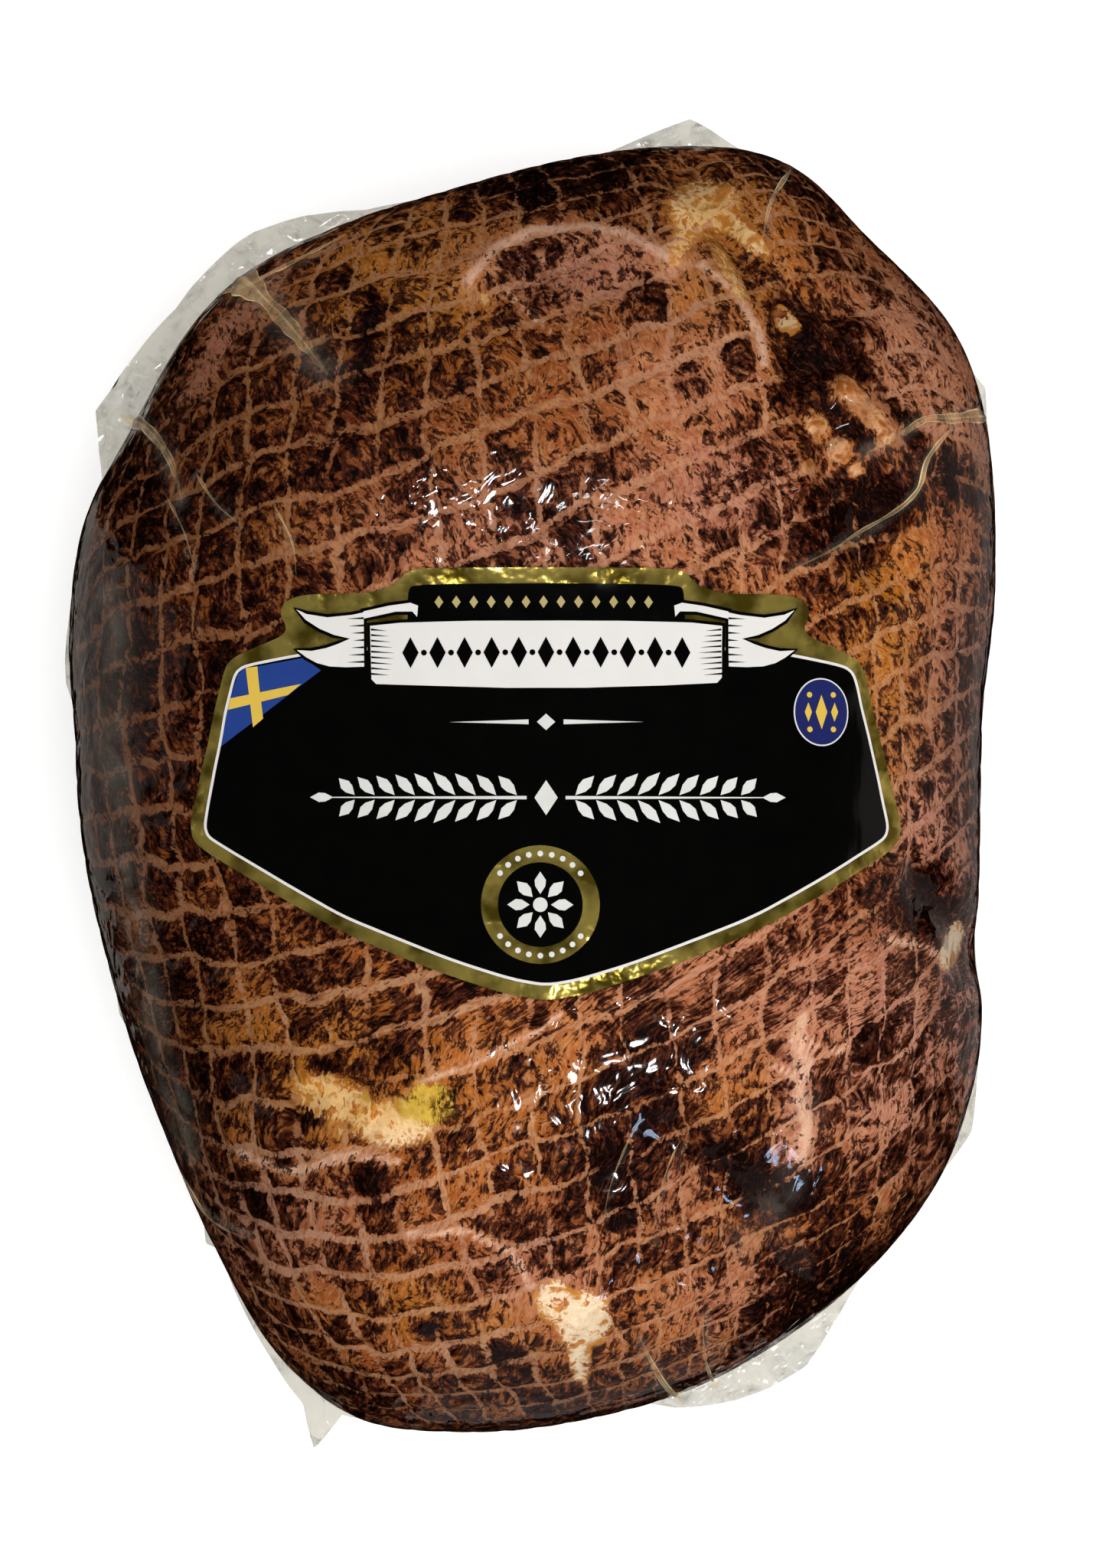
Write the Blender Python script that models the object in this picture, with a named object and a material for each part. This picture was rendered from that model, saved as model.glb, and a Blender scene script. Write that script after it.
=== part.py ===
"""A whole cooked ham, netted in the oven, shrunk into clear film, with a die-cut paper label.

Metres in the scene, millimetres in the sizes below. +Z is up, the labelled face is on top, and the
origin is on the flat that the ham rests on, under the middle of its outline.
"""
import math

import bmesh
import bpy
import numpy as np

MM = 0.001

# The ham's outline seen from above, anticlockwise from the right-hand side, at its widest girth
OUTLINE = [
    (102.5, 14), (103.5, 48.5), (101.5, 69), (93.5, 100.5), (75, 123), (58, 139), (37.5, 144),
    (15, 142), (-18.5, 133), (-42.5, 124), (-68, 109.5), (-88.5, 81), (-99.5, 61), (-103.5, 35.5),
    (-101.5, 8), (-95.5, -31.5), (-86.5, -66), (-70, -101.5), (-52, -129), (-37.5, -140),
    (-16.5, -143), (14, -140), (40.5, -132), (69, -112.5), (89.5, -85.5), (96.5, -65),
    (99.5, -27.5),
]
GIRTH_HEIGHT = 54.0
CROWN_HEIGHT = 80.0
BELLY_DEPTH = 62.0
CROWN_ROUNDNESS = 2.35
BELLY_ROUNDNESS = 2.6
FLOOR_BLEND = 4.0

# The net that the ham was cooked in: rings across, cords along, and the groove each one left
RINGS = 33
CORDS = 28
GROOVE_DEPTH = 1.3
CUSHION_INSET = 0.24
NET_DRIFT = 0.9
NET_LEAN = 0.045
# Where the outermost cords and rings meet, as clock angles round the outline in degrees
NET_CORNERS = {"top_left": 129.0, "bottom_left": 245.0, "bottom_right": 314.0, "top_right": 60.0}

# Seams between muscles and folds of rind, as a line of points, how deep, and how wide
SEAMS = [
    ([(34, 135), (43, 121), (54, 103), (61, 83), (68, 63), (74, 50)], 4.0, 7.5),
    ([(85, -19), (89, -27), (94, -36)], 3.5, 6.0),
    ([(-62, -58), (-44, -62), (-20, -64)], 2.2, 8.0),
    ([(28, -74), (45, -88), (53, -104)], 2.6, 8.0),
    ([(-13, 111), (-2, 119), (14, 120), (29, 114)], -1.8, 6.0),
]
# Knobs of gristle and fat in the seams: x, y, how far each stands up, and how wide
KNOBS = [
    (64, 82, 4.0, 7.0), (69, 73, 3.5, 6.5), (33, 128, 2.0, 7.0), (-19, -64, 1.8, 8.0),
    (10, -112, 2.0, 9.0), (87, -32, 2.5, 7.0),
]
LUMP_HEIGHT = 1.5

# The film: its side seam runs round the girth, and stands off in ears where it didn't shrink
SEAM_RIDGE = 0.5
FILM_ROOT = 1.3
FILM_TIP = 0.7
# How far the film stands out past the girth at each clock angle, and its droop for each mm
FILM_REACH = [
    (32, 0), (34, 1), (39.4, 2), (41.7, 3.5), (45, 0), (65, 0), (67.7, 1), (71, 0), (72.5, 1.2),
    (74.6, 4), (76.8, 7), (80, 3.8), (84.5, 0), (98, 0), (102, 1.5), (106, 2.6), (111.4, 6.5),
    (116.5, 8.5), (120, 8), (123, 7.4), (126.6, 7), (130.6, 8.3), (134.9, 9.5), (139, 10.2),
    (141.5, 5.5), (144, 1), (149, 0.4), (158, 0.6), (164.5, 1.8), (167, 2), (171, 0), (203, 0),
    (208.4, 1.2), (211, 0), (226, 0), (229.6, 1), (232.5, 1), (234.1, 3.2), (235.6, 1), (239, 2.4),
    (245, 3.6), (249.4, 5.5), (251.6, 14), (253, 2), (256, 0), (265, 0), (268.3, 1), (271, 0),
    (280.4, 0.3), (283, 3.6), (286, 6), (288.6, 7.6), (291.6, 8.8), (295.4, 9), (298.8, 5.4),
    (302.3, 2), (305, 0), (317, 0.5), (322.2, 3.5), (327.8, 1.2), (334, 0),
]
FILM_DROOP = 0.18

# The label: half its die-cut outline, from the top middle round to the bottom middle
LABEL_HALF = [
    (0, 43), (26, 43), (29, 42), (31.5, 39.3), (37, 37.8), (50.5, 37.8), (54.4, 36.4), (55.4, 34),
    (53.9, 30.8), (55, 29.2), (60.4, 27), (65, 25), (67.2, 23), (68.8, 16.5), (74, -5),
    (75.2, -10.3), (74.6, -13.8), (71, -16.7), (54.5, -26.2), (43, -32.1), (32, -36.7),
    (18, -41.8), (8, -44.9), (0, -46.3),
]
LABEL_MIDDLE = (3.0, 3.2)
LABEL_GAP = 0.4
LABEL_THICKNESS = 0.5
LABEL_CELL = 7.0
LABEL_MARGIN = 7.0

HAM_BROWN = (0.17, 0.055, 0.025, 1.0)
LABEL_BLACK = (0.006, 0.006, 0.006, 1.0)


def clear_scene():
    for item in list(bpy.data.objects):
        bpy.data.objects.remove(item)


def material(name, colour, roughness):
    made = bpy.data.materials.new(name)
    made.use_nodes = True
    shader = made.node_tree.nodes["Principled BSDF"]
    shader.inputs["Base Color"].default_value = colour
    shader.inputs["Roughness"].default_value = roughness
    shader.inputs["Metallic"].default_value = 0.0
    return made


class RoundCurve:
    """A smooth closed curve of radius against angle through a few outline points."""

    def __init__(self, points):
        points = np.array(points, float)
        angles = np.arctan2(points[:, 1], points[:, 0]) % math.tau
        order = np.argsort(angles)
        self.angles = angles[order]
        self.radii = np.hypot(points[:, 0], points[:, 1])[order]
        before_angle = np.roll(self.angles, 1) - math.tau * (np.arange(len(angles)) == 0)
        last = np.arange(len(angles)) == len(angles) - 1
        after_angle = np.roll(self.angles, -1) + math.tau * last
        self.slopes = (np.roll(self.radii, -1) - np.roll(self.radii, 1)) / (after_angle - before_angle)

    def radius(self, angle):
        angle = np.asarray(angle) % math.tau
        count = len(self.angles)
        low = (np.searchsorted(self.angles, angle, side="right") - 1) % count
        high = (low + 1) % count
        span = (self.angles[high] - self.angles[low]) % math.tau
        t = ((angle - self.angles[low]) % math.tau) / span
        start = self.radii[low] * (2 * t**3 - 3 * t**2 + 1) + self.slopes[low] * span * (t**3 - 2 * t**2 + t)
        end = self.radii[high] * (3 * t**2 - 2 * t**3) + self.slopes[high] * span * (t**3 - t**2)
        return start + end


OUTLINE_CURVE = RoundCurve(OUTLINE)


def smooth_step(low, high, value):
    t = np.clip((value - low) / (high - low), 0.0, 1.0)
    return t * t * (3 - 2 * t)


def distance_to_line(x, y, points):
    """The distance from each (x, y) to a line of points."""
    nearest = np.full(np.shape(x), 1e9)
    for (ax, ay), (bx, by) in zip(points, points[1:]):
        along_x, along_y = bx - ax, by - ay
        t = ((x - ax) * along_x + (y - ay) * along_y) / (along_x**2 + along_y**2)
        t = np.clip(t, 0.0, 1.0)
        nearest = np.minimum(nearest, np.hypot(x - ax - t * along_x, y - ay - t * along_y))
    return nearest


def label_outline():
    """The whole label's outline, as (x, y) points, anticlockwise from the top middle."""
    left = [(-x, y) for x, y in LABEL_HALF]
    right = list(reversed(LABEL_HALF))[1:-1]
    return [(x + LABEL_MIDDLE[0], y + LABEL_MIDDLE[1]) for x, y in left + right]


def inside_label(x, y, outline):
    """Which points are inside the label, by counting the outline's crossings."""
    inside = np.zeros(np.shape(x), bool)
    for (ax, ay), (bx, by) in zip(outline, outline[1:] + outline[:1]):
        if ay == by:
            continue
        crosses = (ay > y) != (by > y)
        inside ^= crosses & (x < (bx - ax) * (y - ay) / (by - ay) + ax)
    return inside


def away_from_label(x, y):
    """0 under the label, where the film is stretched flat, rising to 1 a little way outside it."""
    outline = label_outline()
    outside = distance_to_line(x, y, outline + outline[:1])
    outside = np.where(inside_label(x, y, outline), 0.0, outside)
    return smooth_step(1.5, LABEL_MARGIN, outside)


def dome_table(roundness, height):
    """How far along a rounded profile each share of the radius is, for even spacing over the dome."""
    turn = np.linspace(0.0, math.pi / 2, 400)
    reach = np.sin(turn) ** (2 / roundness)
    rise = np.cos(turn) ** (2 / roundness)
    mean_radius = np.mean(OUTLINE_CURVE.radii)
    steps = np.hypot(np.diff(reach) * mean_radius, np.diff(rise) * height)
    along = np.concatenate([[0.0], np.cumsum(steps)])
    return along / along[-1], reach, rise


CROWN_TABLE = dome_table(CROWN_ROUNDNESS, CROWN_HEIGHT)
BELLY_TABLE = dome_table(BELLY_ROUNDNESS, BELLY_DEPTH)


def dome_points(flat_x, flat_y, upper):
    """Points over the crown or the belly, from a flat sheet of the same outline."""
    angle = np.arctan2(flat_y, flat_x)
    rim = OUTLINE_CURVE.radius(angle)
    share = np.clip(np.hypot(flat_x, flat_y) / rim, 0.0, 1.0)
    along, reach, rise = CROWN_TABLE if upper else BELLY_TABLE
    out = rim * np.interp(share, along, reach)
    lift = np.interp(share, along, rise) * (CROWN_HEIGHT if upper else -BELLY_DEPTH)
    return np.stack([out * np.cos(angle), out * np.sin(angle), GIRTH_HEIGHT + lift], axis=-1)


def fullness(points, upper):
    """A value that is 1 on the plain dome and grows outwards, whose slope gives the way out."""
    x, y, z = points[..., 0], points[..., 1], points[..., 2] - GIRTH_HEIGHT
    roundness = CROWN_ROUNDNESS if upper else BELLY_ROUNDNESS
    height = CROWN_HEIGHT if upper else BELLY_DEPTH
    share = np.hypot(x, y) / OUTLINE_CURVE.radius(np.arctan2(y, x))
    return share**roundness + np.abs(z / height) ** roundness


def outward(points, upper):
    """The unit outward direction at points of the crown or the belly."""
    step = 0.05
    slopes = []
    for axis in range(3):
        shift = np.zeros(3)
        shift[axis] = step
        slopes.append(fullness(points + shift, upper) - fullness(points - shift, upper))
    way = np.stack(slopes, axis=-1)
    return way / np.linalg.norm(way, axis=-1, keepdims=True)


def crown_height(x, y):
    """The plain crown's height over a point of the plan."""
    share = np.hypot(x, y) / OUTLINE_CURVE.radius(np.arctan2(y, x))
    share = np.clip(share, 0.0, 0.9999)
    return GIRTH_HEIGHT + CROWN_HEIGHT * (1 - share**CROWN_ROUNDNESS) ** (1 / CROWN_ROUNDNESS)


def muscle_shape(points):
    """How far the meat stands out from the plain dome: broad lumps, seams and knobs."""
    x, y, z = points[..., 0], points[..., 1], points[..., 2]
    lumps = np.sin(x / 23 + 0.7) * np.cos(y / 31 - 0.4) + 0.6 * np.sin(x / 37 - y / 19 + z / 25)
    offset = LUMP_HEIGHT * lumps
    on_crown = smooth_step(GIRTH_HEIGHT - 4, GIRTH_HEIGHT + 14, z)
    for line, depth, width in SEAMS:
        near = np.exp(-((distance_to_line(x, y, line) / width) ** 2))
        offset = offset - depth * near * on_crown
    for knob_x, knob_y, height, width in KNOBS:
        near = np.exp(-(((x - knob_x) ** 2 + (y - knob_y) ** 2) / width**2))
        offset = offset + height * near * on_crown
    return offset


def rest_on_floor(points):
    """Flattens the belly where the ham's weight presses it on the table."""
    z = points[..., 2]
    eased = np.where(z > FLOOR_BLEND, z, (z + FLOOR_BLEND) ** 2 / (4 * FLOOR_BLEND))
    points[..., 2] = np.where(z < -FLOOR_BLEND, 0.0, eased)
    return points


def skin_points(flat_x, flat_y, upper, groove):
    """Points of the film over the ham. groove is how far each lies in a mark of the net."""
    points = dome_points(flat_x, flat_y, upper)
    offset = muscle_shape(points)
    depth = GROOVE_DEPTH * groove
    if upper:
        depth = depth * away_from_label(points[..., 0], points[..., 1])
    points = points + outward(points, upper) * (offset - depth)[..., None]
    return rest_on_floor(points)


def rim_point(angle_degrees):
    angle = math.radians(angle_degrees)
    radius = float(OUTLINE_CURVE.radius(angle))
    return np.array([radius * math.cos(angle), radius * math.sin(angle)])


def rim_arc(start, end):
    """A fine run of points along the outline between two clock angles, and their shares of it."""
    fine = np.array([rim_point(start + (end - start) * i / 400) for i in range(401)])
    steps = np.linalg.norm(np.diff(fine, axis=0), axis=1)
    along = np.concatenate([[0.0], np.cumsum(steps)])
    return along / along[-1], fine


def on_arc(arc, share):
    along, fine = arc
    return np.stack([np.interp(share, along, fine[:, k]) for k in range(2)], axis=-1)


def net_sheet(cords, rings):
    """The net laid flat inside the outline, blended from its four sides: cords x rings points."""
    corner = NET_CORNERS
    left = rim_arc(corner["bottom_left"], corner["top_left"])
    right = rim_arc(corner["bottom_right"] - 360.0, corner["top_right"])
    top = rim_arc(corner["top_left"], corner["top_right"])
    bottom = rim_arc(corner["bottom_left"], corner["bottom_right"])
    across, along = np.linspace(0.0, 1.0, cords + 1), np.linspace(0.0, 1.0, rings + 1)
    u, v = np.meshgrid(across, along, indexing="ij")
    v = v + NET_LEAN * (2 * smooth_step(0.30, 0.98, u) - 1) * 4 * v * (1 - v)
    start, end = on_arc(left, v), on_arc(right, v)
    low, high = on_arc(bottom, u), on_arc(top, u)
    first, last = left[1][0], left[1][-1]
    other_first, other_last = right[1][0], right[1][-1]
    u, v = u[..., None], v[..., None]
    corners = (
        (1 - u) * (1 - v) * first + u * (1 - v) * other_first
        + (1 - u) * v * last + u * v * other_last
    )
    sheet = (1 - u) * start + u * end + (1 - v) * low + v * high - corners
    inside = (4 * u * (1 - u)) * (4 * v * (1 - v))
    drift = np.concatenate([np.sin(9.1 * u + 5.3 * v), np.cos(6.7 * u - 8.9 * v)], axis=-1)
    return sheet + NET_DRIFT * inside * drift


def between(corners, s, t):
    """A point inside a cell from its four corners."""
    a, b, c, d = corners
    return (1 - s) * (1 - t) * a + s * (1 - t) * b + s * t * c + (1 - s) * t * d


def ear_reach(angle_degrees):
    """How far the film stands out past the girth at an angle, and how much it droops."""
    angles, reaches = zip(*FILM_REACH)
    reach = float(np.interp(angle_degrees % 360.0, angles, reaches))
    return reach, FILM_DROOP * reach


class SkinMesh:
    """Collects the vertices and faces of the sealed ham."""

    def __init__(self):
        self.points = []
        self.faces = []

    def add(self, point):
        self.points.append(tuple(float(value) * MM for value in point))
        return len(self.points) - 1

    def face(self, *corners):
        self.faces.append(corners)


def net_cell(skin, corners, flat, upper, plain):
    """One square of the net: a plain face, or a cushion with a flat top."""
    order = corners if upper else corners[::-1]
    if plain:
        skin.face(*order)
        return
    near, far = CUSHION_INSET, 1 - CUSHION_INSET
    inner = []
    for s, t in ((near, near), (far, near), (far, far), (near, far)):
        place = between(flat, s, t)
        inner.append(skin.add(skin_points(place[0], place[1], upper, 0.0)))
    inner = inner if upper else inner[::-1]
    skin.face(*inner)
    for k in range(4):
        after = (k + 1) % 4
        skin.face(order[k], order[after], inner[after], inner[k])


def sheet_cells(skin, sheet, index, upper):
    """The faces of the crown or the belly, cell by cell."""
    for i in range(CORDS):
        for j in range(RINGS):
            ring = [(i, j), (i + 1, j), (i + 1, j + 1), (i, j + 1)]
            corners = [index[place] for place in ring]
            flat = [sheet[place] for place in ring]
            middle = dome_points(*between(flat, 0.5, 0.5), upper)
            under_label = away_from_label(middle[0], middle[1]) < 0.05
            net_cell(skin, corners, flat, upper, under_label or not upper)


def rim_places():
    """The sheet's edge as (cord, ring) places, anticlockwise from the bottom left corner."""
    places = [(i, 0) for i in range(CORDS)]
    places += [(CORDS, j) for j in range(RINGS)]
    places += [(i, RINGS) for i in range(CORDS, 0, -1)]
    places += [(0, j) for j in range(RINGS, 0, -1)]
    return places


def edge_points(skin, angle, root, rows):
    """Adds the film's edge at one angle round the girth: its tip, and its root where asked."""
    way = np.array([math.cos(angle), math.sin(angle), 0.0])
    reach, droop = ear_reach(math.degrees(angle))
    tip = root + way * (SEAM_RIDGE + reach) - np.array([0.0, 0.0, droop])
    half_root = np.array([0.0, 0.0, FILM_ROOT / 2])
    half_tip = np.array([0.0, 0.0, FILM_TIP / 2])
    if rows is not None:
        rows["above"].append(skin.add(root + half_root))
        rows["below"].append(skin.add(root - half_root))
    return skin.add(tip + half_tip), skin.add(tip - half_tip)


def ear_peak(start, end):
    """The angle between two that stands out most, or their middle: a place for a tip."""
    inside = [(reach, angle) for angle, reach in FILM_REACH if start + 0.4 < angle < end - 0.4]
    return max(inside)[1] if inside else (start + end) / 2


def film_edge(skin, sheet, places):
    """The film's side seam round the girth, with its ears. Returns the rows that the crown and
    the belly join on to."""
    rows = {"above": [], "below": []}
    angles = [math.degrees(math.atan2(sheet[p][1], sheet[p][0])) % 360.0 for p in places]
    tips, middles = [], []
    for place, angle in zip(places, angles):
        root = skin_points(sheet[place][0], sheet[place][1], True, 0.6)
        tips.append(edge_points(skin, math.radians(angle), root, rows))
    for k, angle in enumerate(angles):
        after = angles[(k + 1) % len(angles)]
        after = after if after > angle else after + 360.0
        turn = math.radians(ear_peak(angle, after) % 360.0)
        radius = float(OUTLINE_CURVE.radius(turn))
        root = skin_points(radius * math.cos(turn), radius * math.sin(turn), True, 0.6)
        middles.append(edge_points(skin, turn, root, None))
    for k in range(len(places)):
        after = (k + 1) % len(places)
        (top, bottom), (next_top, next_bottom) = tips[k], tips[after]
        middle_top, middle_bottom = middles[k]
        above, next_above = rows["above"][k], rows["above"][after]
        below, next_below = rows["below"][k], rows["below"][after]
        skin.face(above, top, middle_top)
        skin.face(above, middle_top, next_above)
        skin.face(middle_top, next_top, next_above)
        skin.face(top, bottom, middle_bottom, middle_top)
        skin.face(middle_top, middle_bottom, next_bottom, next_top)
        skin.face(bottom, below, middle_bottom)
        skin.face(middle_bottom, below, next_below)
        skin.face(middle_bottom, next_below, next_bottom)
    return rows


def sealed_ham():
    """The ham in its film as one closed solid: crown, belly and the film's seam between them."""
    skin = SkinMesh()
    sheet = net_sheet(CORDS, RINGS)
    places = rim_places()
    rows = film_edge(skin, sheet, places)
    for upper in (True, False):
        index = {}
        for i in range(CORDS + 1):
            for j in range(RINGS + 1):
                if (i, j) in places:
                    row = "above" if upper else "below"
                    index[i, j] = rows[row][places.index((i, j))]
                else:
                    x, y = sheet[i, j]
                    groove = 1.0 if upper else 0.3
                    index[i, j] = skin.add(skin_points(x, y, upper, groove))
        sheet_cells(skin, sheet, index, upper)
    mesh = bpy.data.meshes.new("sealed_ham")
    mesh.from_pydata(skin.points, [], skin.faces)
    return finish_object("sealed_ham", mesh, material("filmed_ham", HAM_BROWN, 0.35))


def rounded_outline():
    """The label's outline with its corners eased, by one round of corner cutting."""
    outline = label_outline()
    eased = []
    for (ax, ay), (bx, by) in zip(outline, outline[1:] + outline[:1]):
        eased.append((0.8 * ax + 0.2 * bx, 0.8 * ay + 0.2 * by))
        eased.append((0.2 * ax + 0.8 * bx, 0.2 * ay + 0.8 * by))
    return eased


def label():
    """The label: a thin plate with the die-cut outline, bent over the film's crown."""
    shape = bmesh.new()
    corners = [shape.verts.new((x, y, 0.0)) for x, y in rounded_outline()]
    shape.faces.new(corners)
    for axis, low, high in ((0, -80.0, 85.0), (1, -50.0, 55.0)):
        for place in np.arange(low, high, LABEL_CELL):
            everything = shape.verts[:] + shape.edges[:] + shape.faces[:]
            point = (place, 0, 0) if axis == 0 else (0, place, 0)
            normal = (1, 0, 0) if axis == 0 else (0, 1, 0)
            bmesh.ops.bisect_plane(shape, geom=everything, plane_co=point, plane_no=normal)
    bmesh.ops.remove_doubles(shape, verts=shape.verts[:], dist=0.3)
    bmesh.ops.triangulate(shape, faces=shape.faces[:])
    bmesh.ops.recalc_face_normals(shape, faces=shape.faces[:])
    if sum(face.normal.z for face in shape.faces) < 0:
        bmesh.ops.reverse_faces(shape, faces=shape.faces[:])
    shape.verts.index_update()
    flat = np.array([tuple(vertex.co)[:2] for vertex in shape.verts])
    tops = [tuple(vertex.index for vertex in face.verts) for face in shape.faces]
    rim = []
    for edge in shape.edges:
        if edge.is_boundary:
            loop = edge.link_loops[0]
            rim.append((loop.vert.index, loop.link_loop_next.vert.index))
    shape.free()
    count = len(flat)
    base = np.column_stack([flat, crown_height(flat[:, 0], flat[:, 1])])
    way = outward(base, True)
    skin = base + way * muscle_shape(base)[:, None]
    points = np.vstack([skin + way * (LABEL_GAP + LABEL_THICKNESS), skin + way * LABEL_GAP]) * MM
    faces = list(tops)
    faces += [tuple(count + corner for corner in reversed(face)) for face in tops]
    faces += [(b, a, count + a, count + b) for a, b in rim]
    mesh = bpy.data.meshes.new("label")
    mesh.from_pydata(points.tolist(), [], faces)
    return finish_object("label", mesh, material("printed_label", LABEL_BLACK, 0.3))


def finish_object(name, mesh, surface):
    """Makes an object of a mesh, with its faces out, its normals soft and its material on."""
    mesh.validate()
    mesh.shade_smooth()
    mesh.set_sharp_from_angle(angle=math.radians(60))
    mesh.materials.append(surface)
    made = bpy.data.objects.new(name, mesh)
    bpy.context.scene.collection.objects.link(made)
    return made


def main():
    clear_scene()
    sealed_ham()
    label()


main()
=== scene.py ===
"""A whole cooked ham with net marks, shrunk into clear film, with a die-cut label. Sizes in mm."""

import math

import bmesh
import bpy
import numpy as np
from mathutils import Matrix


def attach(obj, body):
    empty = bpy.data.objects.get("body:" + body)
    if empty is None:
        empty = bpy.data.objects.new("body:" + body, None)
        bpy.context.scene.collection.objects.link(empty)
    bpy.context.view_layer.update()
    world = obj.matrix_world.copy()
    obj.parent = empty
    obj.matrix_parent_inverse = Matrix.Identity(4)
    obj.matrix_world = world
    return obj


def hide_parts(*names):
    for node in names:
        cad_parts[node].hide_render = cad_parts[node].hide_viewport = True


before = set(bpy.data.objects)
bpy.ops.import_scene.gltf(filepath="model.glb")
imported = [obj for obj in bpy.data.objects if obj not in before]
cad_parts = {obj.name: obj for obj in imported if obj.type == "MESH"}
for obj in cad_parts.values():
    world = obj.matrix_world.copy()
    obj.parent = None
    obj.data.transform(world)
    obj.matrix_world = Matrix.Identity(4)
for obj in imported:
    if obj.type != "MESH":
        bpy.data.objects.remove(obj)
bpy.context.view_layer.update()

MM = 0.001
METRE = 1000.0
WHITE = (1, 1, 1, 1)

# The ham's outline seen from above, anticlockwise from the right-hand side, at its widest girth
OUTLINE = [
    (102.5, 14), (103.5, 48.5), (101.5, 69), (93.5, 100.5), (75, 123), (58, 139), (37.5, 144),
    (15, 142), (-18.5, 133), (-42.5, 124), (-68, 109.5), (-88.5, 81), (-99.5, 61), (-103.5, 35.5),
    (-101.5, 8), (-95.5, -31.5), (-86.5, -66), (-70, -101.5), (-52, -129), (-37.5, -140),
    (-16.5, -143), (14, -140), (40.5, -132), (69, -112.5), (89.5, -85.5), (96.5, -65),
    (99.5, -27.5),
]
GIRTH_HEIGHT = 54.0
# Between which heights the crown's seams, its colours and the painted shade on the underside fade
# in
SEAMS_FROM = (GIRTH_HEIGHT - 4, GIRTH_HEIGHT + 14)
COLOURS_FROM = (GIRTH_HEIGHT - 6, GIRTH_HEIGHT + 16)
UNDERSIDE_SHADE_TO = (GIRTH_HEIGHT - 24, GIRTH_HEIGHT + 12)
CROWN_HEIGHT = 80.0
BELLY_DEPTH = 62.0
CROWN_ROUNDNESS = 2.35
BELLY_ROUNDNESS = 2.6
FLOOR_BLEND = 4.0

# The net that the ham was cooked in
RINGS = 33
CORDS = 28
CELL_STEPS = 7
GROOVE_DEPTH = 1.2
GROOVE_WIDTH = 0.13
CORD_SHARE = 0.75
SAG = 0.25
NET_DRIFT = 0.9
NET_LEAN = 0.045
# How the cords and rings wander: cells sideways, length of the waves, draw for cords and rings
NET_WANDER = [(0.10, 26.0, 11, 30.0, 13), (0.05, 9.0, 12, 9.0, 14)]
NET_CORNERS = {"top_left": 129.0, "bottom_left": 245.0, "bottom_right": 314.0, "top_right": 60.0}

# Seams between muscles and folds of rind, as a line of points, how deep, and how wide
SEAMS = [
    ([(34, 135), (43, 121), (54, 103), (61, 83), (68, 63), (74, 50)], 4.0, 6.5),
    ([(85, -19), (89, -27), (94, -36)], 3.5, 6.0),
    ([(-62, -58), (-44, -62), (-20, -64)], 2.2, 7.0),
    ([(28, -74), (45, -88), (53, -104)], 2.6, 7.0),
    ([(-13, 111), (-2, 119), (14, 120), (29, 114)], -1.8, 5.0),
]
KNOBS = [
    (64, 82, 4.0, 6.0), (69, 73, 3.5, 5.5), (33, 128, 2.0, 6.0), (-19, -64, 1.8, 7.0),
    (10, -112, 2.0, 8.0), (87, -32, 2.5, 6.0),
]
LUMP_HEIGHT = 1.5
# Roughness of the meat: height, length of the waves, draw
MEAT_ROUGHNESS = [(0.12, 3.2, 21), (0.2, 7.0, 22)]
KNUCKLE_SHARE = 0.8
# Small knuckles of tendon in the deep seam
SMALL_KNOBS = [
    (66, 85, 1.4, 2.6), (69, 82, 1.7, 2.9), (72, 79, 1.8, 3.0), (75, 75.5, 1.4, 2.4),
    (60, 77, 1.5, 2.5), (64.5, 72, 1.9, 2.9), (68.5, 67.8, 0.9, 1.6), (58, 68, 0.9, 1.8),
]

# The film: how far it lies over the meat, and the ears of its side seam
FILM_GAP = -0.12
MEAT_UNDER_FILM = 0.62
FILM_THICKNESS = 0.08
FILM_BRIDGE = 0.16
FILM_REACH = [
    (32, 0), (34, 1), (39.4, 2), (41.7, 3.5), (45, 0), (65, 0), (67.7, 1), (71, 0), (72.5, 1.2),
    (74.6, 4), (76.8, 7), (80, 3.8), (84.5, 0), (98, 0), (102, 1.5), (106, 2.6), (111.4, 6.5),
    (116.5, 8.5), (120, 8), (123, 7.4), (126.6, 7), (130.6, 8.3), (134.9, 9.5), (139, 10.2),
    (141.5, 5.5), (144, 1), (149, 0.4), (158, 0.6), (164.5, 1.8), (167, 2), (171, 0), (203, 0),
    (208.4, 1.2), (211, 0), (226, 0), (229.6, 1), (232.5, 1), (234.1, 3.2), (235.6, 1), (239, 2.4),
    (245, 3.6), (249.4, 5.5), (251.6, 12.8), (253, 2), (256, 0), (265, 0), (268.3, 1), (271, 0),
    (280.4, 0.3), (283, 3.6), (286, 6), (288.6, 7.6), (291.6, 8.8), (295.4, 9), (298.8, 5.4),
    (302.3, 2), (305, 0), (317, 0.5), (322.2, 3.5), (327.8, 1.2), (334, 0),
]
FILM_DROOP = 0.18
EAR_STEPS = 1440
EAR_ROWS = 9
EAR_ROOT = 0.5
EAR_TRIM = 0.35
LEAST_EAR = 0.05
# The ears' crumple, as a share of their reach, and their sharper creases, drawn as milky lines that
# are painted highlights
CRUMPLE = 0.11
CRUMPLE_LENGTH = 7.5
CRUMPLE_DRAW = 41
CREASE_HIGHLIGHT_LENGTH = 7.0
CREASE_HIGHLIGHT_WIDTH = 0.12
CREASE_HIGHLIGHT_DRAW = 45

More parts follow.
